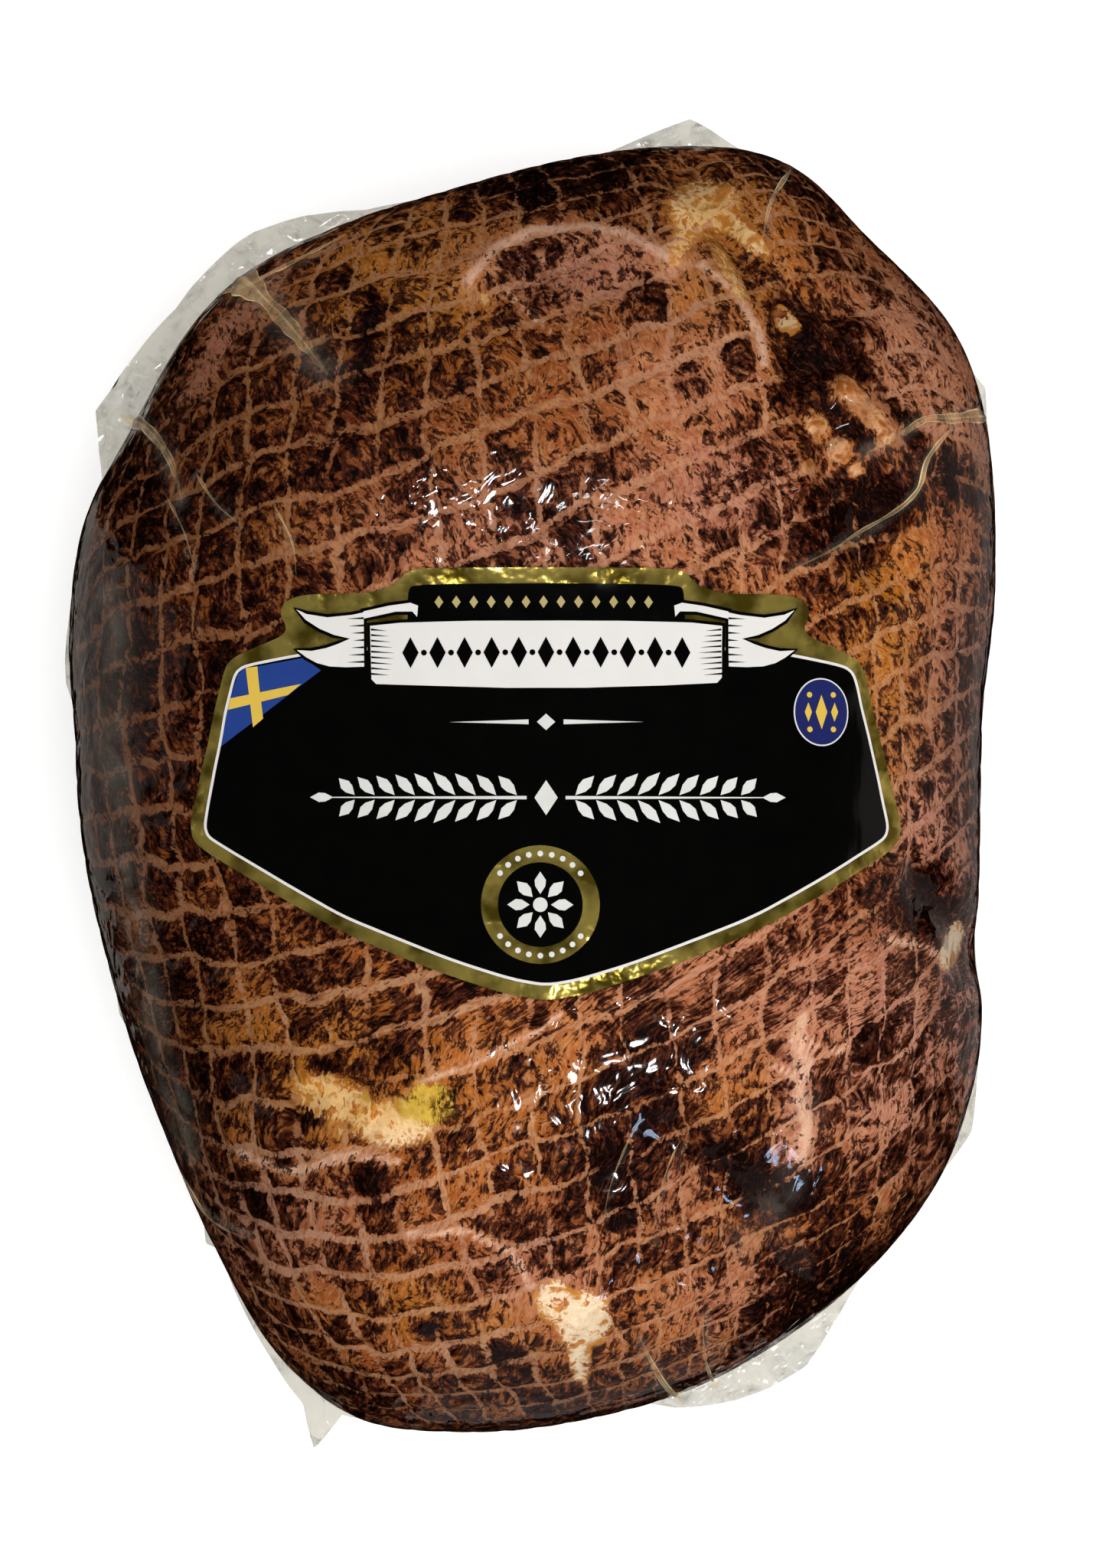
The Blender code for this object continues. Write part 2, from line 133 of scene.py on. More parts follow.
# Folds pressed flat in the film: points on the plan, the fold's height and half its width
FOLDS = [
    ([(-66, 113), (-58, 106), (-50, 97), (-43, 88)], 0.9, 3.4),
    ([(-70, 108), (-61, 109), (-50, 114), (-38, 121)], 0.5, 0.8),
    ([(-92, 84), (-84, 79), (-78, 71), (-75, 62)], 0.6, 1.6),
    ([(101, 83), (90, 80), (83, 79), (77, 75), (70, 71)], 0.7, 1.5),
    ([(90, 79), (84, 71), (82, 64), (76, 58), (66, 52), (54, 46)], 0.6, 0.7),
    ([(34, -138), (28, -128), (23, -117)], 0.6, 0.9),
    ([(42, -136), (38, -124), (37, -112)], 0.5, 0.6),
    ([(57, 137), (52, 128), (50, 118)], 0.5, 0.7),
    ([(-78, -84), (-70, -92), (-60, -95)], 0.5, 0.8),
    ([(-72, 68), (-67, 61), (-60, 55)], 0.4, 0.35),
    ([(-79, 64), (-74, 55), (-71, 46)], 0.4, 0.3),
    ([(56, -46), (55, -58), (58, -70)], 0.3, 0.3),
    ([(22, -70), (17, -82), (15, -92)], 0.3, 0.25),
    ([(32, -74), (27, -86), (26, -96)], 0.3, 0.25),
    ([(-54, 60), (-50, 52), (-49, 44)], 0.3, 0.3),
]
# Where the film stands slack and milky over the meat, along the left rim and the lower right, its
# milk there also a painted grey reflection: points on the plan, half width, strength
VEILS_AND_SHEEN = [
    ([(-90, 44), (-89, 10), (-86, -24), (-81, -52), (-74, -78)], 3.5, 0.06),
    ([(58, -66), (54, -84), (44, -96)], 3.0, 0.06),
]

FOLD_HAZE = 0.07
SEAM_HAZE = 0.1
SEAM_HALF = 3.0
BELOW_HAZE = 0.3

# Regions of the meat: x, y, half length, half width, turn in degrees, strength
CHAR = [
    (60, 92, 13, 6, 115, 1.0), (71, 60, 12, 8, 30, 1.2), (91, 67, 8, 4, -35, 1.0),
    (-35, 97, 8, 1.6, 80, 1.2), (4, 133, 20, 6, -4, 0.65), (24, -64, 8, 13, -10, 0.8),
    (71, 53, 6, 5, 60, 1.0), (68, 90, 5, 2.5, -40, 1.0), (79, 79, 7, 2.2, -48, 1.0),
    (67, 78, 13, 7, -45, 0.75), (16, -77, 5, 4, 0, 1.1), (19, -88, 4, 4, 0, 0.9),
    (49, -111, 3, 4, 0, 1.0), (40, -77, 4, 3, 0, 1.2), (51, -100, 8, 4, 70, 0.75),
    (87, -23.5, 8, 7, -30, 1.05), (-43, -57, 2.6, 2.2, 0, 1.3), (-46, -67, 3.2, 2.2, 40, 1.1),
    (-35, -81, 2.4, 2.2, 0, 1.3), (-22, -114, 2.8, 2.4, 0, 1.3), (-7, -121, 2.6, 2.2, 0, 1.3),
    (66, 98, 7, 4, 100, 0.8), (-5, 127, 12, 5, 8, 0.45), (51, -84, 10, 5, -20, 1.3),
    (58, -104, 13, 7, 50, 0.9), (66, -112, 16, 5, 40, 0.8), (-62, -84, 10, 4, -60, 0.6),
    (50, 134, 10, 4, -30, 0.5),
]
# Painted shade: regions darkened as if in shade, mostly on the left side and along the rims
PAINTED_SHADE = [
    (-100, 10, 70, 28, 88, 1.05), (95, 16, 26, 9, 90, 0.45), (-84, 60, 42, 26, 60, 0.65),
    (-88, -45, 50, 22, 108, 0.8), (-46, 84, 26, 24, 20, 0.4), (-62, 20, 50, 20, 90, 0.65),
    (-2, 138, 30, 9, -2, 0.35), (22, -88, 24, 14, 0, 0.22), (-4, -132, 44, 9, 0, 0.45),
    (66, -112, 22, 8, 40, 0.4), (-48, 70, 30, 20, 0, 0.2), (-10, 60, 16, 10, 0, 0.2),
]
LIGHT = [
    (14, 88, 30, 26, 0, 0.6), (34, 76, 16, 24, 10, 0.9), (80, 98, 12, 22, 30, 0.3),
    (68, -54, 28, 28, 0, 0.2), (-20, -92, 34, 16, -20, 0.25), (40, 122, 13, 13, 0, 0.9),
    (74, 24, 14, 32, 5, 0.9), (6, 112, 26, 9, 0, 0.8), (-62, 72, 20, 12, 30, 0.4),
    (84, 88, 16, 26, 20, 1.4), (-68, 95, 20, 4, 58, 1.4), (96, 60, 9, 30, 0, 0.3),
    (-52, -92, 16, 12, 0, 0.4), (86, 50, 10, 16, 0, 1.4), (80, -46, 16, 20, 0, 0.3),
    (44, -106, 17, 12, 0, 1.3), (18, -92, 20, 12, 0, 0.5), (6, -62, 12, 15, 0, 0.5),
    (24, -113, 22, 12, 0, 0.75), (-26, -110, 16, 10, 0, 0.6), (88, -8, 11, 16, 0, 1.0),
    (-50, -98, 16, 12, 0, 0.3), (-8, -113, 8, 7, 0, 1.3), (-50, -62, 24, 14, 0, 0.4),
    (68, 96, 13, 4, -42, 1.0), (-22, 110, 18, 15, 0, 1.3), (-54, 56, 8, 8, 0, 0.5),
]
AMBER = [
    (74, 30, 10, 34, 4, 0.9), (37, 116, 12, 20, -25, 1.1), (-22, 114, 14, 6, 20, 0.9),
    (-33, -65, 22, 8, 6, 1.0), (10, 118, 30, 8, 0, 0.5), (24, -72, 16, 14, 0, 0.4),
    (-24, 122, 18, 6, 20, 0.7), (46, 108, 8, 16, -30, 0.8), (58, -68, 22, 24, 0, 0.6),
    (44, -92, 26, 20, 0, 0.5), (66, 78, 12, 10, 0, 0.9), (-50, -58, 26, 17, 0, 1.1),
    (-58, -80, 16, 12, 0, 0.6), (-64, 84, 16, 14, 0, 0.4), (-58, 60, 24, 16, 0, 0.4),
    (-38, 104, 16, 10, 0, 0.6), (-78, 30, 16, 30, 0, 0.3), (56, 90, 6, 18, 10, 0.7),
    (68, 96, 15, 5, -42, 1.2), (-25, 108, 22, 17, 0, 1.2), (80, 92, 14, 20, 20, 0.9),
    (40, 122, 12, 12, 0, 1.0), (-26, -108, 12, 8, 0, 0.8), (-8, -113, 8, 7, 0, 0.9),
    (24, -60, 50, 40, 0, 0.3), (-50, 100, 14, 8, 30, 0.5), (10, 30, 60, 80, 0, 0.2),
]
FAT = [
    (37, 126, 8, 7, 0, 1.0), (33, 119, 3, 9, -20, 0.75), (46, 119, 6, 1.8, -45, 1.35),
    (42, 110, 2.2, 9, 25, 0.75), (54, 100, 3.4, 2.2, -50, 1.0), (11, -112, 5, 5.5, 0, 1.7),
    (10, -120, 2.2, 7.5, 6, 1.2), (5, -107, 3.5, 4, 0, 1.1), (4, -109, 3, 5, 30, 0.9),
    (-42, -64, 9, 4.5, -15, 1.1), (-29, -69, 8, 4.5, 0, 1.3), (91, -33.5, 2.6, 5, -25, 1.4),
    (-26, -68, 12, 3, 6, 0.6), (-34, -70, 14, 2.5, 10, 0.6), (-22, -62, 4, 3, 0, 0.7),
    (-10, 104, 2, 3, 0, 0.6),
]
LEMON = [
    (-21, -65, 5.5, 4.4, 0, 1.2), (-34, -66, 13, 5, 8, 0.45),
]
# Pinkish patches of meat; over the lower right the pinkish tone also stands in for the film's faint
# sheen, a painted reflection
PINK_AND_SHEEN = [
    (56, -60, 5, 14, 4, 1.0), (-68, 95, 20, 4, 58, 0.7), (44, -40, 30, 16, 10, 0.5),
    (76, -56, 16, 24, 0, 0.9), (96, -40, 10, 40, 0, 1.1), (57, -74, 6, 6, 0, 0.8),
    (68, -44, 24, 14, 0, 0.7), (10, 112, 22, 8, 0, 0.7), (0, 50, 34, 16, 0, 0.6),
    (78, -72, 12, 18, 20, 0.4), (-56, -92, 16, 12, 0, 0.5), (4, -100, 14, 12, 0, 0.5),
    (44, -106, 16, 11, 0, 0.5), (28, -84, 16, 12, 0, 0.4), (86, -8, 9, 16, 0, 0.9),
    (40, 62, 20, 14, 0, 0.6), (84, 92, 16, 22, 20, 0.7), (94, 16, 9, 30, 0, 0.8),
    (34, 88, 16, 14, 0, 0.4),
]
# Where no net mark shows: torn rind in the deep seams and on fat
BARE = [
    (62, 88, 20, 9, 112, 1.3), (68, 72, 13, 9, 0, 1.3), (80, 62, 14, 7, -20, 1.2),
    (40, 122, 12, 7, -50, 1.0), (87, -24, 9.5, 8.5, 0, 1.0), (-22, -64, 14, 4, 0, 0.8),
    (34, 74, 12, 10, 0, 0.5), (8, -112, 7, 10, 0, 0.9), (-68, 95, 20, 5, 58, 1.1),
    (68, 96, 14, 5, -42, 1.0), (-38, -66, 16, 5, 0, 0.7), (0, 64, 40, 26, 0, 0.15),
    (84, 52, 8, 12, -20, 0.8),
]
# Where the net pressed deepest and left broad pale marks
BROAD_NET = [
    (-54, -88, 26, 24, 0, 1.0), (-30, -98, 30, 22, 0, 0.8), (-20, -122, 36, 14, 0, 0.8),
    (-30, -44, 44, 9, 12, 0.7), (30, 90, 30, 30, 0, 0.3), (-84, -30, 12, 40, 10, 0.5),
]
# Pale edges of muscle: a line of points and its half width
PALE_EDGES = [
    ([(-14, 108), (-8, 116), (0, 120), (11, 121), (20, 119), (29, 113)], 1.6),
    ([(36, 112), (43, 106), (48, 97), (49, 90)], 1.5), ([(-5, 106), (-1, 101), (4, 97)], 0.8),
    ([(57, -47), (55, -52), (58, -57), (56, -63), (58, -70), (57, -78)], 1.8),
    ([(57, -52), (65, -55), (72, -52)], 0.8), ([(50, -57), (56, -60)], 1.2),
    ([(-24, -61), (-12, -56), (1, -50), (6, -46)], 1.0),
    ([(-26, -93), (-14, -92), (-4, -97), (0, -105)], 1.2),
    ([(-62, -77), (-50, -80), (-38, -76), (-28, -77)], 1.5),
    ([(28, 115), (38, 122), (44, 128)], 1.2), ([(75, -31), (83, -33), (90, -36)], 1.3),
]

# The label
LABEL_HALF = [
    (0, 43), (26, 43), (29, 42), (31.5, 39.3), (37, 37.8), (50.5, 37.8), (54.4, 36.4), (55.4, 34),
    (53.9, 30.8), (55, 29.2), (60.4, 27), (65, 25), (67.2, 23), (68.8, 16.5), (74, -5),
    (75.2, -10.3), (74.6, -13.8), (71, -16.7), (54.5, -26.2), (43, -32.1), (32, -36.7),
    (18, -41.8), (8, -44.9), (0, -46.3),
]
LABEL_MIDDLE = (3.0, 3.2)
LABEL_FADE = (0.5, 5.0)
LABEL_UNDER = 0.12
LABEL_TOP = 0.26
LAYER = 0.055
LABEL_CELL = 2.0
# The label's faint waves: height, length, draw
LABEL_RIPPLES = [(0.08, 15.0, 61), (0.035, 6.0, 62)]
KEYLINE_WIDTH = 0.6


def linear(code):
    """A linear colour from an sRGB hex code."""
    parts = [int(code[i:i + 2], 16) / 255 for i in (1, 3, 5)]
    return [p / 12.92 if p <= 0.04045 else ((p + 0.055) / 1.055) ** 2.4 for p in parts] + [1.0]


# Shape of the ham


class RoundCurve:
    """A smooth closed curve of radius against angle through a few outline points."""

    def __init__(self, points):
        points = np.array(points, float)
        angles = np.arctan2(points[:, 1], points[:, 0]) % math.tau
        order = np.argsort(angles)
        self.angles = angles[order]
        self.radii = np.hypot(points[:, 0], points[:, 1])[order]
        before_angle = np.roll(self.angles, 1) - math.tau * (np.arange(len(angles)) == 0)
        last = np.arange(len(angles)) == len(angles) - 1
        after_angle = np.roll(self.angles, -1) + math.tau * last
        rise = np.roll(self.radii, -1) - np.roll(self.radii, 1)
        self.slopes = rise / (after_angle - before_angle)

    def radius(self, angle):
        angle = np.asarray(angle) % math.tau
        count = len(self.angles)
        low = (np.searchsorted(self.angles, angle, side="right") - 1) % count
        high = (low + 1) % count
        span = (self.angles[high] - self.angles[low]) % math.tau
        t = ((angle - self.angles[low]) % math.tau) / span
        start = self.radii[low] * (2 * t**3 - 3 * t**2 + 1)
        start = start + self.slopes[low] * span * (t**3 - 2 * t**2 + t)
        end = self.radii[high] * (3 * t**2 - 2 * t**3) + self.slopes[high] * span * (t**3 - t**2)
        return start + end


OUTLINE_CURVE = RoundCurve(OUTLINE)


def smooth_step(low, high, value):
    """0 at low and 1 at high, eased between."""
    t = np.clip((value - low) / (high - low), 0.0, 1.0)
    return t * t * (3 - 2 * t)


WAVES = 9


def ripples(points, length, seed):
    """A smooth random field about -1 to 1 with waves about the given length, from summed sines."""
    draw = np.random.default_rng(seed)
    total = np.zeros(points.shape[:-1])
    for _ in range(WAVES):
        way = draw.normal(size=points.shape[-1])
        way = way / np.linalg.norm(way) * math.tau / (length * draw.uniform(0.6, 1.6))
        total += np.sin(points @ way + draw.uniform(0, math.tau))
    return total / math.sqrt(WAVES * 0.9)


def distance_to_line(x, y, points):
    """The distance on the plan to a line through some points."""
    nearest = np.full(np.shape(x), 1e9)
    for (ax, ay), (bx, by) in zip(points, points[1:]):
        along_x, along_y = bx - ax, by - ay
        t = ((x - ax) * along_x + (y - ay) * along_y) / (along_x**2 + along_y**2)
        t = np.clip(t, 0.0, 1.0)
        nearest = np.minimum(nearest, np.hypot(x - ax - t * along_x, y - ay - t * along_y))
    return nearest


def near_line(x, y, points, width):
    """1 on a line, falling softly to nothing beyond about its width."""
    return np.exp(-((distance_to_line(x, y, points) / width) ** 2))


def label_outline():
    """The whole label's outline, as (x, y) points, anticlockwise from the top middle."""
    left = [(-x, y) for x, y in LABEL_HALF]
    right = list(reversed(LABEL_HALF))[1:-1]
    return [(x + LABEL_MIDDLE[0], y + LABEL_MIDDLE[1]) for x, y in left + right]


def inside_outline(x, y, outline):
    """Which places of the plan lie inside an outline."""
    inside = np.zeros(np.shape(x), bool)
    for (ax, ay), (bx, by) in zip(outline, outline[1:] + outline[:1]):
        if ay == by:
            continue
        crosses = (ay > y) != (by > y)
        inside ^= crosses & (x < (bx - ax) * (y - ay) / (by - ay) + ax)
    return inside


def away_from_label(x, y):
    """0 under the label, where the film is stretched flat, rising to 1 a little way outside it."""
    outline = label_outline()
    outside = distance_to_line(x, y, outline + outline[:1])
    outside = np.where(inside_outline(x, y, outline), 0.0, outside)
    return smooth_step(*LABEL_FADE, outside)


def dome_table(roundness, height):
    """How a round dome runs out and up, by the share of the way over its curve."""
    turn = np.linspace(0.0, math.pi / 2, 400)
    reach = np.sin(turn) ** (2 / roundness)
    rise = np.cos(turn) ** (2 / roundness)
    mean_radius = np.mean(OUTLINE_CURVE.radii)
    steps = np.hypot(np.diff(reach) * mean_radius, np.diff(rise) * height)
    along = np.concatenate([[0.0], np.cumsum(steps)])
    return along / along[-1], reach, rise


CROWN_TABLE = dome_table(CROWN_ROUNDNESS, CROWN_HEIGHT)
BELLY_TABLE = dome_table(BELLY_ROUNDNESS, BELLY_DEPTH)


def dome_points(flat_x, flat_y, upper):
    """Places of the flat net sheet wrapped over the plain crown or belly."""
    angle = np.arctan2(flat_y, flat_x)
    rim = OUTLINE_CURVE.radius(angle)
    share = np.clip(np.hypot(flat_x, flat_y) / rim, 0.0, 1.0)
    along, reach, rise = CROWN_TABLE if upper else BELLY_TABLE
    out = rim * np.interp(share, along, reach)
    lift = np.interp(share, along, rise) * (CROWN_HEIGHT if upper else -BELLY_DEPTH)
    return np.stack([out * np.cos(angle), out * np.sin(angle), GIRTH_HEIGHT + lift], axis=-1)


def fullness(points, upper):
    """1 on the plain crown or belly, less inside it and more outside."""
    x, y, z = points[..., 0], points[..., 1], points[..., 2] - GIRTH_HEIGHT
    roundness = CROWN_ROUNDNESS if upper else BELLY_ROUNDNESS
    height = CROWN_HEIGHT if upper else BELLY_DEPTH
    share = np.hypot(x, y) / OUTLINE_CURVE.radius(np.arctan2(y, x))
    return share**roundness + np.abs(z / height) ** roundness


def outward(points, upper):
    """The direction straight out of the plain crown or belly."""
    step = 0.05
    slopes = []
    for axis in range(3):
        shift = np.zeros(3)
        shift[axis] = step
        slopes.append(fullness(points + shift, upper) - fullness(points - shift, upper))
    way = np.stack(slopes, axis=-1)
    return way / np.linalg.norm(way, axis=-1, keepdims=True)


def crown_height(x, y):
    """The height of the plain crown over a place of the plan."""
    share = np.hypot(x, y) / OUTLINE_CURVE.radius(np.arctan2(y, x))
    share = np.clip(share, 0.0, 0.9999)
    return GIRTH_HEIGHT + CROWN_HEIGHT * (1 - share**CROWN_ROUNDNESS) ** (1 / CROWN_ROUNDNESS)


def muscle_shape(points):
    """How far the meat stands out from the plain dome: broad lumps, seams and knobs."""
    x, y, z = points[..., 0], points[..., 1], points[..., 2]
    # Two broad waves, some tens of mm long
    lumps = np.sin(x / 23 + 0.7) * np.cos(y / 31 - 0.4) + 0.6 * np.sin(x / 37 - y / 19 + z / 25)
    offset = LUMP_HEIGHT * lumps
    on_crown = smooth_step(*SEAMS_FROM, z)
    for line, depth, width in SEAMS:
        offset = offset - depth * near_line(x, y, line, width) * on_crown
    for knob_x, knob_y, height, width in KNOBS:
        near = np.exp(-(((x - knob_x) ** 2 + (y - knob_y) ** 2) / width**2))
        offset = offset + height * near * on_crown
    return offset


def knuckles(x, y, in_mm):
    """The knuckles of tendon on the plan: each one's height in mm, or 1, at its middle."""
    relief = np.zeros(x.shape)
    for knob_x, knob_y, height, width in SMALL_KNOBS:
        near = np.exp(-((((x - knob_x) ** 2 + (y - knob_y) ** 2) / width**2) ** 2))
        relief = np.maximum(relief, (height if in_mm else 1.0) * near)
    return relief


def knuckle_relief(points):
    """How far the knuckles of tendon stand out, on the crown alone."""
    return knuckles(points[..., 0], points[..., 1], True) * (points[..., 2] > GIRTH_HEIGHT)


def rest_on_floor(points):
    """The belly pressed flat where the ham rests."""
    z = points[..., 2]
    lifted = np.where(z > FLOOR_BLEND, z, (z + FLOOR_BLEND) ** 2 / (4 * FLOOR_BLEND))
    points[..., 2] = np.where(z < -FLOOR_BLEND, 0.0, lifted)
    return points


def rim_point(angle_degrees):
    """A point of the outline."""
    angle = math.radians(angle_degrees)
    radius = float(OUTLINE_CURVE.radius(angle))
    return np.array([radius * math.cos(angle), radius * math.sin(angle)])


def rim_arc(start, end):
    """A fine run of points along the outline between two clock angles, and their shares of it."""
    fine = np.array([rim_point(start + (end - start) * i / 400) for i in range(401)])
    steps = np.linalg.norm(np.diff(fine, axis=0), axis=1)
    along = np.concatenate([[0.0], np.cumsum(steps)])
    return along / along[-1], fine


def on_arc(arc, share):
    """The points at some shares of an arc."""
    along, fine = arc
    return np.stack([np.interp(share, along, fine[:, k]) for k in range(2)], axis=-1)


def net_sheet(cords, rings):
    """The net laid flat inside the outline, blended from its four sides: cords x rings points."""
    corner = NET_CORNERS
    left = rim_arc(corner["bottom_left"], corner["top_left"])
    right = rim_arc(corner["bottom_right"] - 360.0, corner["top_right"])
    top = rim_arc(corner["top_left"], corner["top_right"])
    bottom = rim_arc(corner["bottom_left"], corner["bottom_right"])
    across, along = np.linspace(0.0, 1.0, cords + 1), np.linspace(0.0, 1.0, rings + 1)
    u, v = np.meshgrid(across, along, indexing="ij")
    v = v + NET_LEAN * (2 * smooth_step(0.30, 0.98, u) - 1) * 4 * v * (1 - v)
    start, end = on_arc(left, v), on_arc(right, v)
    low, high = on_arc(bottom, u), on_arc(top, u)
    first, last = left[1][0], left[1][-1]
    other_first, other_last = right[1][0], right[1][-1]
    u, v = u[..., None], v[..., None]
    corners = (
        (1 - u) * (1 - v) * first + u * (1 - v) * other_first
        + (1 - u) * v * last + u * v * other_last
    )
    sheet = (1 - u) * start + u * end + (1 - v) * low + v * high - corners
    inside = (4 * u * (1 - u)) * (4 * v * (1 - v))
    # A slow drift, so that no two squares are alike
    drift = np.concatenate([np.sin(9.1 * u + 5.3 * v), np.cos(6.7 * u - 8.9 * v)], axis=-1)
    return sheet + NET_DRIFT * inside * drift


# The net's grid, fine enough for the grooves: places on the plan, and in cells across and along
FINE_SHEET = net_sheet(CORDS * CELL_STEPS, RINGS * CELL_STEPS)
FINE_U, FINE_V = np.meshgrid(
    np.linspace(0, CORDS, CORDS * CELL_STEPS + 1),
    np.linspace(0, RINGS, RINGS * CELL_STEPS + 1),
    indexing="ij",
)


def net_places(points):
    """Where each point lies in the net, in cells across and along, with the cords' wander."""
    u, v = FINE_U, FINE_V
    for cells, cord_wave, cord_draw, ring_wave, ring_draw in NET_WANDER:
        u = u + cells * ripples(points, cord_wave, cord_draw)
        v = v + cells * ripples(points, ring_wave, ring_draw)
    return u, v


def net_relief(u, v):
    """How far a point lies in a mark of the net, from 0 on a cushion to 1 in the groove."""
    off_u = np.abs(u - np.round(u))
    off_v = np.abs(v - np.round(v))
    groove = np.maximum(
        CORD_SHARE * np.exp(-((off_u / GROOVE_WIDTH) ** 2)),
        np.exp(-((off_v / GROOVE_WIDTH) ** 2)),
    )
    sag = SAG * (1 - np.minimum(1.0, 2 * np.minimum(off_u, off_v)))
    return groove + sag * (1 - groove)


def blob_field(x, y, blobs):
    """A field of soft spots, the strongest at each place. Each spot is x, y, half length, half
    width, turn in degrees, strength."""
    total = np.zeros(np.shape(x))
    for bx, by, long_half, short_half, turn, strength in blobs:
        c, s = math.cos(math.radians(turn)), math.sin(math.radians(turn))
        along = ((x - bx) * c + (y - by) * s) / long_half
        across = (-(x - bx) * s + (y - by) * c) / short_half
        total = np.maximum(total, strength * np.exp(-0.7 * (along**2 + across**2) ** 1.3))
    return total


def side_points(upper):
    """Fine points of the meat's crown or belly with their places in the net."""
    points = dome_points(FINE_SHEET[..., 0], FINE_SHEET[..., 1], upper)
    u, v = net_places(points)
    clear_of_label = away_from_label(points[..., 0], points[..., 1]) if upper else 1.0
    depth = GROOVE_DEPTH * net_relief(u, v) * clear_of_label
    rough = sum(height * ripples(points, length, draw) for height, length, draw in MEAT_ROUGHNESS)
    rough = rough * clear_of_label
    way = outward(points, upper)
    base = muscle_shape(points) + KNUCKLE_SHARE * knuckle_relief(points)
    meat = rest_on_floor(points + way * (base - depth + rough - MEAT_UNDER_FILM)[..., None])
    film = rest_on_floor(points + way * (base - FILM_BRIDGE * depth + FILM_GAP)[..., None])
    film[..., 2] = np.maximum(film[..., 2], 0.0)
    meat[..., 2] = np.maximum(meat[..., 2], FILM_THICKNESS)
    return meat, film, u, v


def grid_faces(index):
    """The squares between the rows and columns of a grid of point numbers."""
    a, b = index[:-1, :-1], index[1:, :-1]
    c, d = index[1:, 1:], index[:-1, 1:]
    return np.stack([a, b, c, d], axis=-1).reshape(-1, 4)


def closed_skin(name, crown, belly, fields):
    """One closed mesh of the crown and belly grids, which share their rim."""
    upper_index = np.arange(crown.shape[0] * crown.shape[1]).reshape(crown.shape[:2])
    lower_index = upper_index.copy()
    inner = np.zeros(upper_index.shape, bool)
    inner[1:-1, 1:-1] = True
    lower_index[inner] = upper_index.size + np.arange(inner.sum())
    points = np.vstack([crown.reshape(-1, 3), belly[inner]])
    faces = np.vstack([grid_faces(upper_index), grid_faces(lower_index)[:, ::-1]])
    values = {
        field: np.concatenate([above.reshape(-1), below[inner]])
        for field, (above, below) in fields.items()
    }
    return new_piece(name, points, faces.tolist(), values)


def new_piece(name, points, faces, fields=None):
    """A mesh of points in mm with its fields, in the scene."""
    mesh = bpy.data.meshes.new(name)
    mesh.from_pydata((np.asarray(points) * MM).tolist(), [], faces)
    for field, values in (fields or {}).items():
        layer = mesh.attributes.new(field, "FLOAT", "POINT")
        layer.data.foreach_set("value", np.asarray(values, np.float32))
    mesh.shade_smooth()
    made = bpy.data.objects.new(name, mesh)
    bpy.context.scene.collection.objects.link(made)
    return made


# The meat and the film


# How much the crust covers, and what each field adds to or takes from it
COVER = {
    "all": 0.54, "square": 0.19, "patch": 0.11, "painted_shade": 0.42, "light": 0.22, "edge": 0.45,
    "most": 0.95, "char": 0.75,
}
PATCH_LENGTH = 17.0
SQUARE_DRAW = 71
PATCH_DRAW = 72


def crust_cover(points, u, v, char, painted_shade, light, edge):
    """How much of a place the dark crust takes, from 0 to about 1: each square has its own."""
    own = np.random.default_rng(SQUARE_DRAW).uniform(-1, 1, (CORDS + 1, RINGS + 1))
    column = np.clip(np.floor(u).astype(int), 0, CORDS)
    row = np.clip(np.floor(v).astype(int), 0, RINGS)
    cover = COVER["all"] + COVER["square"] * own[column, row]
    cover = cover + COVER["patch"] * ripples(points, PATCH_LENGTH, PATCH_DRAW)
    # Painted shade also adds to the dark crust
    cover += COVER["painted_shade"] * painted_shade - COVER["light"] * light - COVER["edge"] * edge
    return np.minimum(cover, COVER["most"]) + COVER["char"] * char


# How much painted shade darkens the underside, in broad patches
LEAST_PAINTED_SHADE = 0.3
PAINTED_SHADE_PATCH = 0.35
PAINTED_SHADE_LENGTH = 60.0
PAINTED_SHADE_DRAW = 31
MEAT_FIELDS = (
    "cover", "amber", "fat", "lemon", "pink_and_sheen", "painted_shade", "edge", "bare", "knuckle", "pressed",
)


